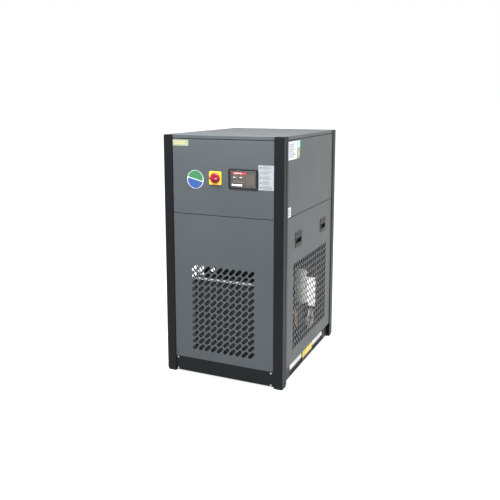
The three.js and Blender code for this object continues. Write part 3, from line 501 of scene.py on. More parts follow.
def corner_posts():
    """Folded posts with a rounded corner and a raised band along the panel's edge of each side face."""
    radius, wall, lip = 6, 3, 22
    step_at, step_width, step = 38, 3, 1.5
    for end, sign_y in (("front", -1), ("rear", 1)):
        for side, sign_x in (("left", -1), ("right", 1)):
            node = f"{end}_{side}_post"
            low, high = corners(node)
            leg_x, leg_y = high.x - low.x, high.y - low.y
            angles = [k * math.pi / 16 for k in range(9)]
            corner = [(step + radius * (1 - math.cos(a)), radius * (1 - math.sin(a))) for a in angles]
            bend = [(step * (1 + math.cos(a)) / 2, step_at + step_width * a / math.pi)
                    for a in [k * math.pi / 6 for k in range(6, -1, -1)]]
            edge = [(leg_x, 0), (leg_x, lip), (leg_x - wall, lip), (leg_x - wall, wall), (wall + step, wall),
                    (wall + step, leg_y - wall), (lip, leg_y - wall), (lip, leg_y), (0, leg_y)]
            profile = bend + corner + edge
            lid = bend + corner + [(leg_x, 0), (leg_x, leg_y), (0, leg_y)]
            outer_x = high.x if sign_x > 0 else low.x
            outer_y = high.y if sign_y > 0 else low.y
            post, cap = ([(outer_x - sign_x * u, outer_y - sign_y * v) for u, v in loop]
                         for loop in (profile, lid))
            shape = Shape()
            shape.slab([post], low.z, high.z - 0.5, 0.5)
            shape.slab([cap], high.z - 4, high.z, 1.2)
            piece(f"{node}_shell", shape, "painted_black", replaces=[node], angle=50)


def base_pieces():
    corner_posts()
    for node in ("front_left_foot", "front_right_foot", "rear_left_foot", "rear_right_foot"):
        dress(node, 1.5)
    for node in ("right_base_rail", "left_base_rail", "front_plinth", "rear_plinth"):
        dress(node, 1.2)
    for node in ("base_deck", "mid_shelf", "control_plate"):
        dress(node, 0.6)


def pan_head_screw(shape, u, v, w, radius, height):
    """A domed screw with a cross recess, standing out of the face at w."""
    dome = [(0, w + height), (radius * 0.5, w + height * 0.93), (radius * 0.85, w + height * 0.6),
            (radius, w + 0.1), (radius, w - 1.0), (0, w - 1.0)]
    shape.lathe(dome, Matrix.Translation((u, v, 0)), 20)


def screw_recess(shape, u, v, w, radius, height):
    top = w + height + 0.02
    arm, half = radius * 0.5, radius * 0.13
    shape.box((u - arm, v - half, top - 0.4), (u + arm, v + half, top))
    shape.box((u - half, v - arm, top - 0.4), (u + half, v + arm, top))


def screws(name, side, places, face, radius=4.8):
    """Screws on a face at (across, up) places."""
    heads = Shape(side_matrix(side))
    marks = Shape(side_matrix(side))
    for u, v in places:
        pan_head_screw(heads, u, v, face, radius, radius * 0.55)
        screw_recess(marks, u, v, face, radius, radius * 0.55)
    piece(f"{name}_heads", heads, "screw_steel")
    piece(f"{name}_recesses", marks, "ink")


def all_screws():
    for side, node in ((FRONT, "front_plinth"), (REAR, "rear_plinth")):
        low, high = side_box(node, side)
        inset = 15
        places = [(u, v) for u in (low.x + inset, high.x - inset) for v in (low.y + 8, high.y - 7)]
        screws(node + "_screws", side, places, high.z)
    for node in ("rear_upper_panel", "rear_lower_panel"):
        low, high = side_box(node, REAR)
        inset = 14
        rows = (low.y + inset, (low.y + high.y) / 2, high.y - inset)
        places = [(u, v) for u in (low.x + inset, high.x - inset) for v in rows]
        screws(node + "_screws", REAR, places, high.z)


# ------------------------------------------------------------------ panels

SLOT_LENGTH, SLOT_WIDTH, SLOT_PITCH = 50, 21, 41
SHEET = 1.6
GRILLES = {  # columns, rows, height of the middle
    "front": (10, 13, 426),
    "right": (16, 13, 450),
    "left": (16, 13, 450),
}


def grille_slots(side_name):
    columns, rows, height = GRILLES[side_name]
    across = [(c - (columns - 1) / 2) * SLOT_PITCH for c in range(columns)]
    up = [height + (r - (rows - 1) / 2) * SLOT_PITCH for r in range(rows)]
    return [leaning_slot(u, v, SLOT_LENGTH, SLOT_WIDTH) for u in across for v in up]


def grille_panel(side_name, body):
    """A folded panel whose slots are round-ended, with rounded sheet edges."""
    node = f"{side_name}_lower_panel"
    side = SIDE_NUMBER[side_name]
    low, high = side_box(node, side)
    holes = grille_slots(side_name)
    if side_name != "front":
        for end in ("front", "rear"):
            latch_low, latch_high = side_box(f"{side_name}_{end}_latch_frame", side)
            margin = 4
            holes.append(rectangle(latch_low.x + margin, latch_high.x - margin,
                                   latch_low.y + margin, latch_high.y - margin))
    shape = Shape(side_matrix(side))
    outline = rounded(low.x, high.x, low.y, high.y, 1.5, 3)
    shape.slab([outline, *holes], high.z - SHEET, high.z, 0.4)
    back = high.z - 1.2
    shape.box((low.x, low.y, low.z), (low.x + SHEET, high.y, back))
    shape.box((high.x - SHEET, low.y, low.z), (high.x, high.y, back))
    shape.box((low.x, low.y, low.z), (high.x, low.y + SHEET, back))
    shape.box((low.x, high.y - SHEET, low.z), (high.x, high.y, back))
    piece(f"{node}_skin", shape, "painted_grey", body, replaces=[node])


def panels():
    grille_panel("front", CABINET)
    grille_panel("right", "right_side_panel")
    grille_panel("left", "left_side_panel")
    for node in ("front_upper_panel", "rear_upper_panel", "rear_lower_panel", "right_upper_panel",
                 "left_upper_panel"):
        dress(node, 1.0, 3)
    dress("top_cover", 2.6, 4)
    for side_name, side in SIDE_NUMBER.items():
        low, high = side_box(f"{side_name}_upper_panel", side)
        lip = corners("top_cover")[0].z
        # A near-black rubber gasket fills the gap under the top cover's lip; its dark colour also stands in
        # for the shadow line under the lip, as painted shade.
        gasket = Shape(side_matrix(side))
        gasket.box((low.x, high.y + 0.1, high.z - 12), (high.x, lip - 0.1, high.z - 5))
        piece(f"{side_name}_lid_gasket_shade", gasket, "rubber", edge=0.4)
    for side in ("right", "left"):
        for end in ("front", "rear"):
            dress(f"{side}_{end}_latch_frame", 1.0, 2)
            dress(f"{side}_{end}_latch_paddle", 0.8, 2)


# ------------------------------------------------------------------ switch and screen

def main_switch():
    low, high = side_box("main_switch_handle", FRONT)
    centre = ((low.x + high.x) / 2, (low.y + high.y) / 2)
    radius = (high.x - low.x) / 2
    plate_face = side_box("main_switch_plate", FRONT)[1].z
    top = high.z
    base = plate_face + 0.6
    shape = Shape(side_matrix(FRONT) @ Matrix.Translation((*centre, 0)))
    crown = base + 12
    pin = 6
    shape.lathe([
        (0, base), (radius - 1, base), (radius, base + 1), (radius, base + 6), (radius - 1.5, base + 8),
        (radius - 7, crown - 1), (radius - 10, crown), (0, crown),
    ], None, 56)
    half_length, half_width = 27, 6.5
    shape.slab([rounded(-half_length, half_length, -half_width, half_width, 5)], crown - 5, top, 1.6)
    shape.lathe([(0, low.z), (pin, low.z), (pin, base + 1), (0, base + 1)], None, 20)
    ribs = 16
    for k in range(ribs):
        angle = 2 * math.pi * k / ribs
        along = Vector((math.cos(angle), math.sin(angle)))
        start = along * (radius - 1.2)
        shape.rod((start.x, start.y, base + 1.5), (start.x, start.y, base + 6.5), 2.2, 10, 0.5)
    piece("main_switch_knob", shape, "red_plastic", "switch_handle", replaces=["main_switch_handle"])
    marker = Shape(side_matrix(FRONT) @ Matrix.Translation((*centre, 0)))
    marker.slab([rounded(half_length - 15, half_length - 4, -1.1, 1.1, 1)], top - 0.3, top + 0.2)
    piece("main_switch_pointer", marker, "display_white", "switch_handle")
    dress("main_switch_plate", 1.0, 3)
    dress("main_switch_body", 0.8)
    ticks = Shape(side_matrix(FRONT) @ Matrix.Translation((*centre, 0)))
    for angle in (0, math.pi / 2, math.pi):
        along = Vector((math.cos(angle), math.sin(angle)))
        across = Vector((-along.y, along.x))
        inner, outer = along * (radius + 1.5), along * (radius + 4.5)
        edge = across * 0.8
        loop = [tuple(inner - edge), tuple(outer - edge), tuple(outer + edge), tuple(inner + edge)]
        ticks.slab([loop], plate_face - 0.2, plate_face + 0.15)
    piece("main_switch_ticks", ticks, "ink")
    spacing = 31
    places = [(centre[0] + a * spacing, centre[1] + b * spacing) for a in (-1, 1) for b in (-1, 1)]
    screws("main_switch_screws", FRONT, places, plate_face, 2.2)


PRINT = 0.12  # thickness of a printed area
LABEL = 0.35  # height of a label's face over its panel


def tiles(name, side, film, rectangles, level):
    """Thin printed areas on a face."""
    shape = Shape(side_matrix(side))
    for edges in rectangles:
        shape.slab([rectangle(*edges)], level - 0.05, level + PRINT)
    piece(name, shape, film)


def touch_screen():
    dress("screen_bezel", 1.4, 3)
    dress("screen_glass", 0.3)
    low, high = side_box("screen_glass", FRONT)
    width, height, face = high.x - low.x, high.y - low.y, high.z

    def area(a0, a1, b0, b1):
        """Part of the picture, as shares of its width and height."""
        return (low.x + a0 * width, low.x + a1 * width, low.y + b0 * height, low.y + b1 * height)

    def show(name, film, areas, level=face):
        tiles(name, FRONT, film, areas, level)

    show("screen_header", "display_red", [area(0.10, 0.62, 0.80, 0.90)])
    show("screen_header_bars", "display_white",
         [area(0.16, 0.34, 0.835, 0.865), area(0.37, 0.44, 0.835, 0.865)], face + PRINT)
    show("screen_chart", "display_brown", [area(0.62, 0.95, 0.14, 0.80)])
    show("screen_fields", "display_grey", [area(0.10, 0.34, 0.52, 0.74), area(0.37, 0.58, 0.52, 0.74)])
    values = [area(0.12 + 0.25 * k, 0.20 + 0.25 * k, 0.60, 0.63) for k in range(2)]
    curve = [area(0.66 + 0.03 * k, 0.675 + 0.03 * k, 0.2, 0.3 + 0.2 * abs(math.sin(k))) for k in range(8)]
    show("screen_values", "display_white", values, face + PRINT)
    show("screen_graph", "display_grey", curve, face + PRINT)
    buttons = [area(0.06 + 0.085 * k, 0.12 + 0.085 * k, 0.10, 0.20) for k in range(5)]
    show("screen_buttons", "display_white", buttons)
    show("screen_state", "display_grey", [area(0.10, 0.56, 0.27, 0.45)])


# ------------------------------------------------------------------ labels

def label(name, side, finish, u0, u1, v0, v1, level):
    shape = Shape(side_matrix(side))
    shape.slab([rounded(u0, u1, v0, v1, 1.5, 3)], level - 0.1, level + LABEL)
    piece(name, shape, finish)


def print_rows(name, side, film, u0, u1, v0, v1, rows, level, fill=0.45, seed=3):
    """Plain bars in place of lines of print, each row of its own length."""
    chance = random.Random(seed)
    pitch = (v1 - v0) / rows
    bars = []
    for row in range(rows):
        v = v1 - (row + 0.5) * pitch
        end = u0 + (u1 - u0) * chance.uniform(0.55, 1.0)
        bars.append((u0, end, v - pitch * fill / 2, v + pitch * fill / 2))
    tiles(name, side, film, bars, level + LABEL)


def triangle(u, v, half_width, above, below):
    return [(u, v + above), (u - half_width, v - below), (u + half_width, v - below)]


def front_labels():
    panel_low, panel_high = side_box("front_upper_panel", FRONT)
    face = panel_high.z
    screen_low, screen_high = side_box("screen_bezel", FRONT)

    u0, u1 = screen_high.x + 1, panel_high.x - 1
    v0, v1 = screen_low.y + 2, screen_high.y + 27
    label("instruction_label", FRONT, "grey_white", u0, u1, v0, v1, face)
    rows = 5
    row_height = (v1 - v0) / rows
    marks = Shape(side_matrix(FRONT))
    for row in range(rows):
        low = v1 - (row + 1) * row_height + 4
        print_rows(f"instruction_rows_{row}", FRONT, "pale_ink", u0 + 24, u1 - 5, low, low + row_height - 7,
                   4, face, 0.4, row + 1)
        u, v = u0 + 13, v1 - (row + 0.5) * row_height
        size = 5.5 if row % 2 else 4.5
        loop = rounded(u - size, u + size, v - size, v + size, 1, 3)
        if row % 2:
            loop = triangle(u, v, size * 1.1, size * 1.2, size * 0.9)
        marks.slab([loop], face + 0.3, face + 0.48)
    piece("instruction_marks", marks, "grey_ink")

    u0, v1 = panel_low.x + 2, panel_high.y - 4
    label("corner_label", FRONT, "cream", u0, u0 + 104, v1 - 36, v1, face)
    print_rows("corner_label_bars", FRONT, "amber_ink", u0 + 8, u0 + 96, v1 - 28, v1 - 9, 2, face, 0.35, 5)


def round_sticker():
    """A two-tone disc with a straight white band between its halves."""
    face = side_box("front_upper_panel", FRONT)[1].z
    screen_low, screen_high = side_box("screen_bezel", FRONT)
    u, v = -173, (screen_low.y + screen_high.y) / 2 - 14
    radius, rim, half_band, split = 54.5, 4.5, 2.5, math.radians(-14)
    disc = Shape(side_matrix(FRONT) @ Matrix.Translation((u, v, 0)))
    disc.slab([circle(radius, sides=64)], face - 0.1, face + 0.3)
    piece("round_sticker", disc, "label")
    for part, film, start, lift in (("upper", "green", split, half_band),
                                    ("lower", "blue", split + math.pi, -half_band)):
        half = Shape(side_matrix(FRONT) @ Matrix.Translation((u, v + lift, 0)))
        outline = circle(radius - rim, sides=32, start=start, end=start + math.pi)
        half.slab([outline], face + 0.25, face + 0.42)
        piece(f"round_sticker_{part}", half, film)


def side_labels():
    low, high = side_box("right_upper_panel", RIGHT)
    level = high.z
    u0, v1 = low.x + 4, high.y - 7
    label("type_plate", RIGHT, "label", u0, u0 + 148, v1 - 104, v1, level)
    print_rows("type_plate_bars", RIGHT, "pale_ink", u0 + 18, u0 + 130, v1 - 92, v1 - 10, 8, level, 0.4, 9)
    u1 = u0 + 152
    label("tag_upper", RIGHT, "pale_green", u1, u1 + 48, v1 - 42, v1, level)
    label("tag_lower", RIGHT, "cream", u1, u1 + 48, v1 - 102, v1 - 44, level)
    tag = Shape(side_matrix(RIGHT))
    tag.slab([triangle(u1 + 24, v1 - 70, 17, 16, 13)], level + 0.3, level + 0.5)
    piece("tag_mark", tag, "amber_ink")
    label("small_label", RIGHT, "label", low.x + 1, low.x + 58, low.y + 3, low.y + 60, level)
    print_rows("small_label_bars", RIGHT, "grey_ink", low.x + 8, low.x + 50, low.y + 9, low.y + 54, 4, level)

    for side_name in ("right", "left"):
        side = SIDE_NUMBER[side_name]
        rail = side_box(f"{side_name}_base_rail", side)[1]
        v0, v1, name = rail.y - 58, rail.y - 4, f"{side_name}_base_label"
        label(name, side, "yellow", -92, 92, v0, v1, rail.z)
        print_rows(f"{name}_bars", side, "ink", -78, -10, v0 + 8, v1 - 8, 3, rail.z, 0.35, 2)
        print_rows(f"{name}_blocks", side, "amber_ink", 10, 78, v0 + 8, v1 - 8, 2, rail.z, 0.7, 4)


# ------------------------------------------------------------------ refrigeration circuit

def condenser():
    dress("condenser_frame", 0.6)
    low, high = corners("condenser_frame")
    half = corners("fan_shroud")[1].x
    flange, out, sheet = 12, 24, 1.5
    front = low.y
    rims = Shape()
    rims.box((-half, front - sheet, high.z - flange), (half, front, high.z))
    piece("condenser_top_flange", rims, "bright_sheet", edge=0.4)
    sides = Shape()
    sides.box((-half - out, front - sheet, low.z + 1), (-half + 6, front, high.z - flange - 1))
    sides.box((half - 6, front - sheet, low.z + 1), (half + out, front, high.z - flange - 1))
    piece("condenser_side_flanges", sides, "fin_stock", edge=0.4)
    low, high = corners("condenser_core")
    fins = Shape()
    pitch, sheet = 3.2, 0.35
    count = int((high.x - low.x) / pitch)
    for k in range(count):
        x = low.x + (k + 0.5) * pitch
        fins.box((x - sheet / 2, low.y + 2, low.z), (x + sheet / 2, high.y - 2, high.z))
    piece("condenser_fins", fins, "fin_stock", replaces=["condenser_core"])
    tubes = Shape()
    rows = 16
    for row in range(rows):
        z = low.z + (row + 0.5) * (high.z - low.z) / rows
        for y in (low.y + 14, high.y - 14):
            tubes.rod((low.x, y, z), (high.x, y, z), 4.8, 10)
    piece("condenser_tubes", tubes, "dull_copper")


def fan():
    low, high = corners("fan_impeller")
    centre = (low + high) / 2
    tip = (high.z - low.z) / 2
    hub = 62
    depth = high.y - low.y
    to_axis = Matrix.Translation((centre.x, low.y, centre.z)) @ Matrix.Rotation(-math.pi / 2, 4, "X")
    shape = Shape(to_axis)
    shape.lathe([(0, 2), (hub * 0.7, 2), (hub * 0.94, 5), (hub, 10), (hub, depth - 1),
                 (hub - 3, depth - 1), (hub - 3, 14), (0, 14)], None, 48)
    for blade in range(5):
        turn = Matrix.Rotation(2 * math.pi * blade / 5, 4, "Z")
        rows = []
        for i in range(7):
            radius = hub - 3 + (tip - hub) * i / 6 * 0.985
            row = []
            for j in range(9):
                share = j / 8 - 0.5
                sweep = 0.28 * i / 6
                chord = 62 + 22 * i / 6
                angle = share * chord / radius * 0.92 + sweep
                lift = depth / 2 + share * depth * 0.78 + 5 * (share * share * 4 - 0.5) * -0.8
                row.append(polar_point(turn, radius, angle, lift))
            rows.append(row)
        blade_sheet(shape, rows, 2.2)
    piece("fan_blades", shape, "aluminium", "fan", replaces=["fan_impeller"], angle=50)
    dress("fan_motor", 1.0)
    dress("fan_shroud", 0.6)


def polar_point(turn, radius, angle, lift):
    return turn @ Vector((radius * math.cos(angle), radius * math.sin(angle), lift))


def blade_sheet(shape, rows, thickness):
    """A closed sheet from a grid of points, given thickness along the local Z axis."""
    bm = shape.bm
    offset = Vector((0, 0, thickness / 2))
    layers = [[[bm.verts.new(p + offset * s) for p in row] for row in rows] for s in (1, -1)]
    top, bottom = layers
    last_row, last = len(rows) - 1, len(rows[0]) - 1
    for i in range(last_row):
        for j in range(last):
            bm.faces.new((top[i][j], top[i + 1][j], top[i + 1][j + 1], top[i][j + 1]))
            bm.faces.new((bottom[i][j], bottom[i][j + 1], bottom[i + 1][j + 1], bottom[i + 1][j]))
    rim = [(0, j) for j in range(last)] + [(i, last) for i in range(last_row)]
    rim += [(last_row, j) for j in range(last, 0, -1)] + [(i, 0) for i in range(last_row, 0, -1)]
    for (a, b), (c, d) in zip(rim, rim[1:] + rim[:1]):
        bm.faces.new((top[a][b], top[c][d], bottom[c][d], bottom[a][b]))
    made = [v for layer in layers for row in layer for v in row]
    shape.placed(made)


PIPE_RADIUS, PIPE_BEND, STUB_RADIUS = 8, 18, 12


def compressor():
    low, high = corners("compressor_shell")
    radius = 95
    centre = middle("compressor_base")
    centre.z = low.z
    height = high.z - low.z
    shape = Shape(Matrix.Translation(centre))
    profile = [(0, 0), (radius * 0.6, 0), (radius * 0.75, 2)]
    for k in range(1, 7):
        angle = k * math.pi / 12
        profile.append((radius * (0.75 + 0.25 * math.sin(angle)), 2 + 22 * (1 - math.cos(angle))))
    seam = height * 0.62
    profile += [(radius, seam - 5), (radius + 1.8, seam - 3), (radius + 1.8, seam + 3), (radius, seam + 5)]
    profile += dome(radius, height, 46, 10)
    shape.lathe(profile, None, 56)
    for node, sign in (("suction_pipe", 1), ("discharge_pipe", -1)):
        pipe_low, pipe_high = corners(node)
        x = pipe_high.x - PIPE_RADIUS
        end = (pipe_low.y if sign > 0 else pipe_high.y) - centre.y - sign * 0.3
        z = pipe_low.z + PIPE_RADIUS - centre.z
        shape.rod((x - centre.x, end - sign * 55, z), (x - centre.x, end, z), STUB_RADIUS, 20, 0.8)
    piece("compressor_body", shape, "compressor_black", replaces=["compressor_shell"], angle=40)
    dress("compressor_base", 1.0)
    dress("compressor_terminal_box", 1.5, 3)


def dome(radius, top, height, steps):
    """The end of a lathe's profile, rounded up to its tip on the axis."""
    angles = [k / steps * math.pi / 2 for k in range(steps)]
    return [(radius * math.cos(a), top - height + height * math.sin(a)) for a in angles] + [(0, top)]


def receiver():
    low, high = corners("liquid_receiver")
    radius, height = (high.y - low.y) / 2, high.z - low.z
    centre = Vector((225, (low.y + high.y) / 2, low.z))
    shape = Shape(Matrix.Translation(centre))
    profile = [(0, 0), (radius * 0.8, 0), (radius * 0.97, 5), (radius, 11), (radius, height - 22)]
    shape.lathe(profile + dome(radius, height, 20, 8), None, 48)
    drier_z = middle("filter_drier").z - centre.z
    liquid_z = middle("liquid_pipe").z - centre.z
    shape.rod((low.x - centre.x, 0, drier_z), (-20, 0, drier_z), STUB_RADIUS, 20, 0.8)
    shape.rod((20, 0, liquid_z), (high.x - centre.x, 0, liquid_z), STUB_RADIUS, 20, 0.8)
    for share in (0.28, 0.72):
        shape.lathe(hoop(radius - 1, radius + 1.2, height * share - 10, height * share + 10), None, 48)
    jacket = Shape(Matrix.Translation(centre))
    cover, sleeve = radius + 6, height * 0.44
    jacket.lathe([(radius, 1), (cover, 1), (cover, sleeve - 4), (cover - 4, sleeve), (radius, sleeve),
                  (radius, 1)], None, 48)
    piece("receiver_jacket", jacket, "foam", angle=40)
    piece("receiver_vessel", shape, "vessel_grey", replaces=["liquid_receiver"], angle=40)


def hoop(inner, outer, low, high):
    """A lathe's profile for a plain ring."""
    return [(inner, low), (outer, low), (outer, high), (inner, high), (inner, low)]


def filter_drier():
    low, high = corners("filter_drier")
    centre = (low + high) / 2
    radius, length = (high.z - low.z) / 2, high.x - low.x
    shape = Shape(Matrix.Translation((low.x, centre.y, centre.z)) @ Matrix.Rotation(math.pi / 2, 4, "Y"))
    half = [(0, 0), (8, 0), (8, 24), (12, 30), (radius * 0.8, 35), (radius, 42)]
    shape.lathe(half + [(r, length - z) for r, z in reversed(half)], None, 40)
    piece("filter_drier_body", shape, "brass", replaces=["filter_drier"], angle=40)


def copper_pipes():
    """The CAD pipes again with round sections, along the same straight runs."""
    nodes = ("suction_pipe", "discharge_pipe", "liquid_pipe", "drain_pipe")
    outside = {node: corners(node) for node in nodes}
    inset = Vector((PIPE_RADIUS, PIPE_RADIUS, PIPE_RADIUS))
    inside = {node: (low + inset, high - inset) for node, (low, high) in outside.items()}
    routes = {}

    low, high = inside["suction_pipe"]
    start = outside["suction_pipe"][0]
    routes["suction_pipe"] = [
        (start.x, high.y, high.z), (high.x, high.y, high.z),
        (high.x, high.y, low.z), (high.x, start.y, low.z)]

    low, high = inside["discharge_pipe"]
    end, start = outside["discharge_pipe"]
    forward = start.y - 40
    routes["discharge_pipe"] = [
        (high.x, start.y, low.z), (high.x, forward, low.z), (high.x, forward, high.z),
        (high.x, low.y, high.z), (end.x, low.y, high.z)]

    low, high = inside["liquid_pipe"]
    start_x, end_x = outside["liquid_pipe"][0].x, corners("liquid_receiver")[1].x + 0.3
    routes["liquid_pipe"] = [
        (start_x, low.y, low.z), (high.x, low.y, low.z), (high.x, high.y, low.z), (end_x, high.y, low.z)]

    low, high = inside["drain_pipe"]
    end = outside["drain_pipe"][0]
    routes["drain_pipe"] = [(end.x, low.y, high.z), (high.x, low.y, high.z), (high.x, low.y, end.z)]

    for node in nodes:
        points = [Vector(point) for point in routes[node]]
        shape = Shape()
        shape.tube(points, PIPE_RADIUS, PIPE_BEND, 20, 8)
        for a, b in zip(points, points[1:]):
            along = (b - a).normalized()
            if (b - a).length > 90:
                for end, inward in ((a, along), (b, -along)):
                    start = end + inward * (1 if end in (points[0], points[-1]) else PIPE_BEND + 4)
                    shape.rod(start, start + inward * 14, PIPE_RADIUS + 1.2, 20, 0.6)
        finish = "dull_copper" if node == "liquid_pipe" else "copper"
        piece(f"{node}_tube", shape, finish, replaces=[node], angle=40)


def capillary():
    """A thin tube wound up beside the compressor, between the filter drier and the heat exchanger."""
    low, high = corners("compressor_shell")
    centre = Vector((high.x + 6, high.y + 52, low.z + 92))
    shape = Shape()
    turns, sides = 4, 36
    points = []
    for k in range(turns * sides + 1):
        angle = 2 * math.pi * k / sides
        radius = 30 + 44 * k / (turns * sides)
        points.append(centre + Vector((0, radius * math.cos(angle), radius * math.sin(angle))))
    shape.tube(points, 2.3, 0.0, 8, 0)
    piece("capillary_coil", shape, "bright_sheet", angle=60)


def heat_exchanger():
    dress("heat_exchanger", 6, 4)
    low, high = corners("heat_exchanger")
    shape = Shape()
    for share in (0.18, 0.42, 0.66, 0.88):
        z = low.z + (high.z - low.z) * share
        loop = rounded(low.x - 1.2, high.x - 0.2, low.y - 1.2, high.y - 0.2, 14)
        hole = rounded(low.x + 2, high.x - 3, low.y + 2, high.y - 3, 12)
        shape.slab([loop, hole], z - 11, z + 11, 0.3)
    piece("exchanger_straps", shape, "galvanised")


def air_pipes():
    face = side_box("rear_upper_panel", REAR)[1].z
    for node in ("air_inlet_pipe", "air_outlet_pipe"):
        low, high = side_box(node, REAR)
        centre = (low + high) / 2
        radius, collar, bore, top = 33, (high.x - low.x) / 2, 26, high.z
        place = side_matrix(REAR) @ Matrix.Translation((centre.x, centre.y, 0))
        shape = Shape(place)
        threads = [(bore + (0.9 if k % 2 else 0), top - 3 - k * 1.15) for k in range(20)]
        shape.lathe([(bore, low.z), (radius, low.z), (radius, top - 1), (radius - 1, top), (bore + 2, top),
                     (bore, top - 2), *threads, (bore, low.z)], None, 48)
        shape.slab([circle(collar, sides=6), circle(radius + 0.1, sides=48)], top - 18, top - 1.2, 1.2)
        piece(f"{node}_port", shape, "brass", replaces=[node], angle=25)
        ring = Shape(place)
        ring.lathe([(radius + 0.3, face - 4), (radius + 2.6, face - 4), (radius + 2.6, face - 0.2),
                    (radius + 7, face + 0.1), (radius + 7, face + 2), (radius + 0.3, face + 2.6),
                    (radius + 0.3, face - 4)], None, 48)
        piece(f"{node}_grommet", ring, "rubber", angle=25)


def rear_details():
    """Flow arrows beside the air ports and a rubber edge round the service window."""
    face = side_box("rear_upper_panel", REAR)[1].z
    for node, inward in (("air_inlet_pipe", 1), ("air_outlet_pipe", -1)):
        low, high = side_box(node, REAR)
        u, v = (low.x + high.x) / 2, high.y + 30
        label(f"{node}_label", REAR, "label", u - 26, u + 26, v - 15, v + 15, face)
        arrow = Shape(side_matrix(REAR) @ Matrix.Translation((u, v, 0)))
        half, shaft = 17, 2.6
        loop = [(-half, -shaft), (3, -shaft), (3, -8), (half, 0), (3, 8), (3, shaft), (-half, shaft)]
        loop = [(inward * a, b) for a, b in loop]
        arrow.slab([loop], face + 0.3, face + 0.5)
        piece(f"{node}_arrow", arrow, "ink")
    low, high = side_box("rear_lower_panel", REAR)
    u0 = low.x + 63
    u1, v0, v1 = u0 + 110, 185, 405
    trim = Shape(side_matrix(REAR))
    outer = rounded(u0 - 3, u1 + 3, v0 - 3, v1 + 3, 6)
    inner = rounded(u0 + 2.4, u1 - 2.4, v0 + 2.4, v1 - 2.4, 3)
    trim.slab([outer, inner], high.z + 0.1, high.z + 2.4, 0.8)
    piece("window_edge_trim", trim, "rubber")


def small_fittings():
    low, high = side_box("cable_gland", REAR)
    centre = (low + high) / 2
    face = side_box("rear_upper_panel", REAR)[1].z
    shape = Shape(side_matrix(REAR) @ Matrix.Translation((centre.x, centre.y, 0)))
    shape.lathe(hoop(6.5, 15, low.z, face + 0.2), None, 32)
    shape.slab([circle(19, sides=6), circle(8, sides=24)], face + 0.3, face + 9, 0.8)
    shape.lathe([(9.5, face + 8), (15, face + 8), (15, face + 15), (13.6, face + 18),
                 (9.5, high.z), (6.5, high.z), (6.5, face + 8), (9.5, face + 8)], None, 32)
    piece("cable_gland_body", shape, "black_plastic", replaces=["cable_gland"], angle=25)

    low, high = corners("drain_ball_valve")
    centre = (low + high) / 2
    place = Matrix.Translation((centre.x, low.y, low.z + 15)) @ Matrix.Rotation(-math.pi / 2, 4, "X")
    valve = Shape(place)
    length = high.y - low.y
    half = [(0, 0), (10.5, 0), (10.5, 11), (13, 14), (15, 18)]
    valve.lathe(half + [(r, length - z) for r, z in reversed(half)], None, 32)
    valve.matrix = Matrix.Identity(4)
    valve.rod((centre.x, centre.y, low.z + 20), (centre.x, centre.y, high.z), 5, 16, 0.4)
    piece("drain_valve_body", valve, "brass", replaces=["drain_ball_valve"], angle=40)
    dress("drain_valve_lever", 1.0, 3)
    dress("condensate_drain", 3.0, 4)
    dress("contactor", 1.0)
    dress("terminal_block", 0.6)


# ------------------------------------------------------------------ stage

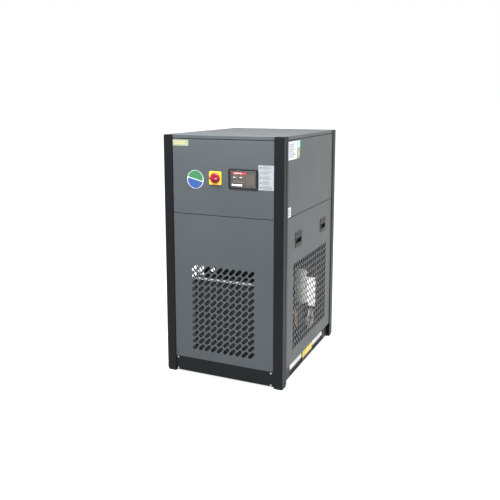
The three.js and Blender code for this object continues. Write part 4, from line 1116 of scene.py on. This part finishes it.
def studio():
    floor = bpy.data.meshes.new("floor")
    reach = 200.0
    floor.from_pydata([(u, v, 0) for u, v in rectangle(-reach, reach, -reach, reach)], [], [(0, 1, 2, 3)])
    floor_obj = bpy.data.objects.new("floor", floor)
    bpy.context.scene.collection.objects.link(floor_obj)
    shader = Shader("floor", 0.6, Specular_IOR_Level=0.1, Emission_Color=(1.0, 1.0, 1.0, 1.0),
                    Emission_Strength=0.74)
    shader.colour(shader.blend(shader.noise(1.5, 3.0), (0.33, 0.33, 0.33), (0.36, 0.36, 0.36)))
    floor.materials.append(shader.material)

    world = bpy.data.worlds.new("studio")
    bpy.context.scene.world = world
    world.use_nodes = True
    background = world.node_tree.nodes["Background"]
    background.inputs["Color"].default_value = (1.0, 1.0, 1.0, 1.0)
    background.inputs["Strength"].default_value = 1.0

    sky = bpy.data.lights.new("sky", "SUN")
    sky.angle = math.radians(70)
    sky.energy = 0.95
    sky_obj = bpy.data.objects.new("sky", sky)
    sky_obj.rotation_euler = (math.radians(8), math.radians(6), 0)
    bpy.context.scene.collection.objects.link(sky_obj)

    def softbox(name, place, aim, size, power, colour=(1.0, 1.0, 1.0)):
        light = bpy.data.lights.new(name, "AREA")
        light.color = colour
        light.shape = "RECTANGLE"
        light.size, light.size_y = size
        light.energy = power
        obj = bpy.data.objects.new(name, light)
        obj.location = place
        obj.rotation_euler = (Vector(aim) - Vector(place)).to_track_quat("-Z", "Y").to_euler()
        bpy.context.scene.collection.objects.link(obj)

    softbox("front_light", (-0.2, -1.5, 3.0), (0, -0.5, 1.25), (2.2, 0.8), 205.0, (0.84, 0.92, 1.0))
    softbox("right_light", (3.6, 0.6, 3.0), (0.2, 0, 1.1), (2.4, 2.4), 175.0)
    softbox("camera_light", (2.0, -4.3, 1.9), (0.1, 0, 0.7), (2.2, 2.2), 42.0)

    view = bpy.context.scene.view_settings
    view.view_transform = "Standard"
    view.look = "None"
    view.exposure = 0.0
    view.gamma = 1.0


CAMERA_PLACE = (1.601, -3.747, 1.666)
CAMERA_TURN, CAMERA_TILT = 23.68, 8.91
FOCAL_SHARE = 1.265  # focal length as a share of the picture's width
LENS_SHIFT = -0.10


def camera():
    data = bpy.data.cameras.new("camera")
    data.sensor_width = 36.0
    data.lens = FOCAL_SHARE * data.sensor_width
    data.shift_y = LENS_SHIFT
    obj = bpy.data.objects.new("camera", data)
    obj.location = CAMERA_PLACE
    obj.rotation_euler = (math.radians(90 - CAMERA_TILT), 0, math.radians(CAMERA_TURN))
    bpy.context.scene.collection.objects.link(obj)
    bpy.context.scene.camera = obj


camera()
studio()
base_pieces()
all_screws()
panels()
main_switch()
touch_screen()
front_labels()
round_sticker()
side_labels()
condenser()
fan()
compressor()
receiver()
filter_drier()
copper_pipes()
capillary()
heat_exchanger()
air_pipes()
rear_details()
small_fittings()
